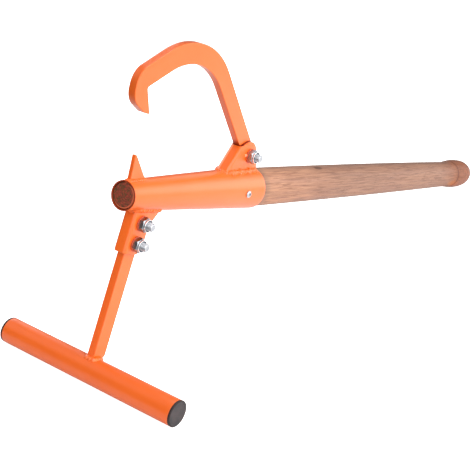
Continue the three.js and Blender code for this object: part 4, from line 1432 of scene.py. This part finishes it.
# %% Make the three bolts with their washers, nuts and rings
def fasten(name, place_in, half, height):
    """A bolt along Y through ears whose outsides are half to either side, at a height."""
    seat = half + seat_gap
    nut_seat = -(seat + washer_thickness + seat_gap)
    point = nut_seat - nut_top - bolt_past_nut

    def put(y):
        """Puts what is drawn about the bolt's axis at a place along it, in the row's frame."""
        return lambda points: place_in(np.asarray(points) + [0, y, height])

    def off_axis(points):
        """How far each point is from the bolt's axis."""
        axis_x, _, axis_z = put(0)(np.zeros(3))
        return np.hypot(points[:, 0] - axis_x, points[:, 2] - axis_z)

    def in_thread(points):
        """How deep a point lies in the thread, but for the bolt's flat end: it takes painted shade."""
        depth = np.clip((bolt_radius - hair - off_axis(points)) / thread_depth, 0, 1)
        return depth * (points[:, 1] > point + 1 * MM)

    def on_collar(points):
        """1 on the rolled edge of the collar, which takes a painted highlight."""
        beyond = points[:, 1] < nut_seat - nut_hex_height - 1.3 * MM
        return np.where((off_axis(points) > nut_room) & beyond, 1, 0)

    def in_collar(points):
        """1 inside the collar, which takes painted shade."""
        return np.clip((nut_room - off_axis(points)) / (0.3 * MM), 0, 1)

    # The bolt takes a little painted light all over, and painted shade in its thread.
    piece(f"{name}_domed_bolt", bolt_shape(seat, point), put(0), "zinc", zinc, [f"{name}_bolt"],
          rubbed=0.2, tucked=in_thread)
    piece(f"{name}_flat_washer", washer, put(-seat), "zinc", painted_zinc, [f"{name}_washer"])
    piece(f"{name}_lock_nut", nut, put(nut_seat), "zinc", zinc, [f"{name}_nut"], crisp=25,
          rubbed=on_collar, tucked=in_collar)
    piece(f"{name}_nylon_ring", nylon_ring, put(nut_seat), "nylon", nylon, [f"{name}_nut_ring"])


fasten("pivot", of_pivot, clevis_half, 0.0)
fasten("upper_foot", of_foot, bracket_half, bolt_heights[0])
fasten("lower_foot", of_foot, bracket_half, bolt_heights[1])

# %% [markdown]
# ## Weld beads
# A hand-laid weld is a row of frozen pools, each lapping over the last. A plain tube along the joint
# would look like a cable. Here a circle is carried along the joint and its radius swells once per
# pool; the swell is bowed, so that it comes later at the sides than on top, and slow waves make the
# bead wander as a hand does. Both ends run out to nothing.

# %% Helper: a rippled bead along a path
weld_radius = 4 * MM
weld_inset = 1.2 * MM


def even_steps(points, spacing):
    """A path cut into even steps: its points, and how far along it each of them lies."""
    points = np.asarray(points, float)
    far = np.r_[0, np.cumsum(np.linalg.norm(np.diff(points, axis=0), axis=1))]
    even = np.linspace(0, far[-1], max(8, int(far[-1] / spacing)))
    return np.stack([np.interp(even, far, part) for part in points.T], axis=1), even


def unit(vectors):
    """Vectors over their lengths."""
    return vectors / np.linalg.norm(vectors, axis=1, keepdims=True)


def bead(points, up, radius, pool=5.6 * MM, swell=0.3, lumps=0.1, closed=False, seed=0.0):
    """radius (1 + swell cos^2(pi (s / pool + bow)) + slow waves), at each s along the path and each
    angle round it, with the bow a third of a pool times the square of the angle's sine."""
    path, s = even_steps(points, 0.45 * MM)
    ahead = unit(np.gradient(path, axis=0))
    side = unit(np.cross(ahead, np.broadcast_to(up, path.shape)))
    out = np.cross(side, ahead)
    sine, cosine = np.sin(full_turn(28)), np.cos(full_turn(28))
    wander = lumps * (np.sin(s / (3.4 * MM) + seed) + 0.7 * np.sin(s / (1.9 * MM) + 2 * seed))
    drift = 0.12 * np.sin(s / (11 * MM) + seed)
    pools = np.cos(np.pi * (s[:, None] / pool + 0.33 * sine ** 2 + drift[:, None])) ** 2
    from_end = np.ones_like(s) if closed else np.minimum(np.minimum(s, s[-1] - s) / radius, 1)
    run_out = np.sqrt(np.clip(1 - (1 - from_end) ** 2, 0, 1))
    size = radius * (1 + swell * (pools - 0.5) + wander[:, None]) * run_out[:, None]
    ring = cosine[None, :, None] * out[:, None] + sine[None, :, None] * side[:, None]
    grid = path[:, None] + size[..., None] * ring
    return skin(grid[:-1] if closed else grid, rows_close=closed)


# %% [markdown]
# Each bead follows the outside of the plate that it holds, set on the socket or on the bar. The two
# folded plates share one line seen from above. On the socket's top a point's height comes from the
# circle of the cone there, and under it from the steps that the bracket was cut by.

# %% Helpers: the lines that the welds follow
def fold_line(front, rear, half, bend):
    """The outside of a folded plate seen from above, with its round bends, rear to rear."""
    angle = quarter_turn(10)
    corner = points_of(front + bend - bend * np.sin(angle), bend - half - bend * np.cos(angle))
    return np.concatenate([[[rear, -half]], corner, corner[::-1] * [1, -1], [[rear, half]]])


def loop_line(corners):
    """A closed line through rounded corners, its first point once more at its end."""
    line = rounded(corners)
    return np.concatenate([line, line[:1]])


def on_socket(line):
    """The points (x, y) of a line set on top of the socket, in the tool's frame."""
    x, y = even_steps(line, 1 * MM)[0].T
    return points_of(x, y, np.sqrt(socket_radius(x) ** 2 - y ** 2) - weld_inset)


# %% Weld the clevis and the bracket
clevis_front = pivot_x + meet(web_side, clevis_web_to_pivot, upright, -pivot_rise)[0]
clevis_path = on_socket(fold_line(clevis_front, pivot_x + clevis_rear_reach, clevis_half, outer_bend))
in_front = np.clip((clevis_front + 8 * MM - clevis_path[:, 0]) / (6 * MM), 0, 1)
clevis_path[:, 2] -= 1.7 * MM * in_front
painted("clevis_weld", bead(clevis_path, (0, 0, 1), 4.6 * MM, pool=7.5 * MM, swell=0.4, lumps=0.2, seed=0.7),
        of_tool)

x, y = even_steps(fold_line(bracket_front, gusset_meets - 1 * MM, bracket_half, outer_bend), 1 * MM)[0].T
bracket_path = points_of(x, y, under_cone(x, y, weld_inset))
painted("bracket_weld", bead(bracket_path, (0, 0, -1), weld_radius, seed=2.1), of_foot)

# %% Weld the spike and the leg
spike_half = spike_thickness / 2
spike_corners = [(spike_setback, -spike_half), (spike_rear, -spike_half), (spike_rear, spike_half),
                 (spike_setback, spike_half)]
spike_path = on_socket(loop_line([(x, y, 1.5 * MM) for x, y in spike_corners]))
painted("spike_weld", bead(spike_path, (0, 0, 1), 3 * MM, pool=3.8 * MM, closed=True, seed=1.3), of_tool)

leg_side = leg_thickness / 2
leg_weld_rear = leg_depth / 2 - leg_chamfer
leg_weld_out = 3.4 * MM
leg_loop = loop_line([
    (-leg_depth / 2 + 0.6 * MM, -leg_side - leg_weld_out, 1 * MM), (leg_weld_rear, -leg_side, 3 * MM),
    (leg_weld_rear, leg_side, 3 * MM), (-leg_depth / 2, leg_side, 3 * MM)])
x, y = even_steps(leg_loop, 1 * MM)[0].T
leg_path = points_of(x, y, -foot_drop - weld_inset + np.sqrt(bar_radius ** 2 - (x + bar_offset) ** 2))
painted("leg_weld", bead(leg_path, (0, 0, 1), weld_radius, closed=True, seed=3.4), of_foot)

# %% [markdown]
# A drop of weld froze on the near ear, just before the washer. It could be half a sphere, but a drop
# that hits cold steel runs out unevenly, so its rim wobbles three times a turn.

# %% Make the weld drop
drop_length, drop_width, drop_height = 2.9 * MM, 2.5 * MM, 1.9 * MM
drop_sink = 0.2 * MM
drop_place = [-11.7 * MM, 0, 0.8 * MM]
rise, angle = quarter_turn(12)[:, None], full_turn(40)
wobble = 1 + 0.12 * np.sin(3 * angle + 1)
drop = points_of(drop_length * np.cos(rise) * np.cos(angle) * wobble,
                 -clevis_half - drop_height * np.sin(rise) + drop_sink,
                 drop_width * np.cos(rise) * np.sin(angle) * wobble)
# The top of the drop takes a painted highlight.
painted("weld_drop", skin(drop + drop_place, caps=(0,)), of_pivot,
        rubbed=lambda points: np.clip((-clevis_half - points[:, 1]) / (0.6 * MM), 0, 1))
print("triangles in all", sum(made_triangles.values()))

# %% [markdown]
# ## Floor and room
# The picture is a product shot cut out on white, so the floor and the room are plain white to the
# camera. To all other rays the room is dim, and the floor glows a little on the side away from the
# nose, which keeps faces turned to the nose a deep orange. One white room would light every side
# alike. Standard colour handling keeps the whites white.

# %% Set the floor and the room
scene = bpy.context.scene
scene.view_settings.view_transform = "Standard"
floor_half = 12.0
floor_middle = (0.3, 0, 0)
room_dim = 0.15
white = (1, 1, 1, 1)

floor_mesh = bpy.data.meshes.new("floor")
floor_mesh.from_pydata([(x * floor_half, y * floor_half, 0) for x, y in ((-1, -1), (1, -1), (1, 1), (-1, 1))],
                       [], [(0, 1, 2, 3)])
floor = bpy.data.objects.new("floor", floor_mesh)
scene.collection.objects.link(floor)
floor_paint, tree, shader, place = material("pale_floor")
table = ranged(tree, vector_of(tree, "DISTANCE", place, floor_middle), 0.8, 1.6, 0.86, 0.12)
floor_x, floor_y, _ = node(tree, "SeparateXYZ", {}, place).outputs
glow = ranged(tree, sum_of(tree, "SUBTRACT", floor_x, floor_y), -0.5, 0.3, 0.0, 0.28)
seen = node(tree, "LightPath", {}).outputs["Is Camera Ray"]
fill(tree, shader.inputs["Base Color"], table)
fill(tree, shader.inputs["Emission Strength"], sum_of(tree, "MAXIMUM", seen, glow))
shader.inputs["Roughness"].default_value = 0.8
shader.inputs["Specular IOR Level"].default_value = 0.1
shader.inputs["Emission Color"].default_value = white
floor_mesh.materials.append(floor_paint)

world = bpy.data.worlds.new("room")
world.use_nodes = True
tree = world.node_tree
background = tree.nodes["Background"].inputs
background["Color"].default_value = white
seen = node(tree, "LightPath", {}).outputs["Is Camera Ray"]
fill(tree, background["Strength"], sum_of(tree, "MAXIMUM", seen, room_dim))
scene.world = world
print("floor across in m", 2 * floor_half)

# %% [markdown]
# ## Light
# Two very broad soft lights do most of the work, one on the near side of the tool and one like a
# white wall behind the camera. A low wall at the handle's end brightens the round of the socket, a
# backdrop and an overhead light draw the upper edges, and three small ones lift single faces. Each
# is a square area light, because its soft edge gives the wide dull gloss that powder coat shows.

# %% Set the lights
soft_lights = {
    # name: place, aim, width in metres, power in watts
    "near": ((0.3, -4.6, 2.5), (-0.2, 0, 0.2), 7.0, 370),
    "right": ((2.45, -1.4, 0.75), (-0.3, 0, 0.25), 1.5, 9),
    "right_wall": ((3.7, -1.9, 1.1), (-0.3, 0, 0.25), 3.2, 46),
    "behind_right": ((2.3, 0.9, 1.15), (-0.3, 0, 0.25), 1.0, 3),
    "backdrop": ((1.0, 3.4, 0.9), (-0.1, 0, 0.2), 3.4, 60),
    "overhead": ((0.6, 0.3, 3.2), (-0.1, 0, 0.2), 2.5, 45),
    "ceiling": ((-1.2, 1.6, 1.7), (-0.6, 0, 0), 1.5, 5),
    "room_wall": ((-4.4, -2.75, 2.2), (-0.3, 0, 0.2), 8.0, 365),
}
for name, (light_place, aim, width, watts) in soft_lights.items():
    light_data = bpy.data.lights.new(name, "AREA")
    light_data.shape, light_data.size, light_data.energy = "SQUARE", width, watts
    light = bpy.data.objects.new(name, light_data)
    light.rotation_euler = (Vector(light_place) - Vector(aim)).to_track_quat("Z", "Y").to_euler()
    light.location = light_place
    scene.collection.objects.link(light)
print("lights", len(bpy.data.lights))
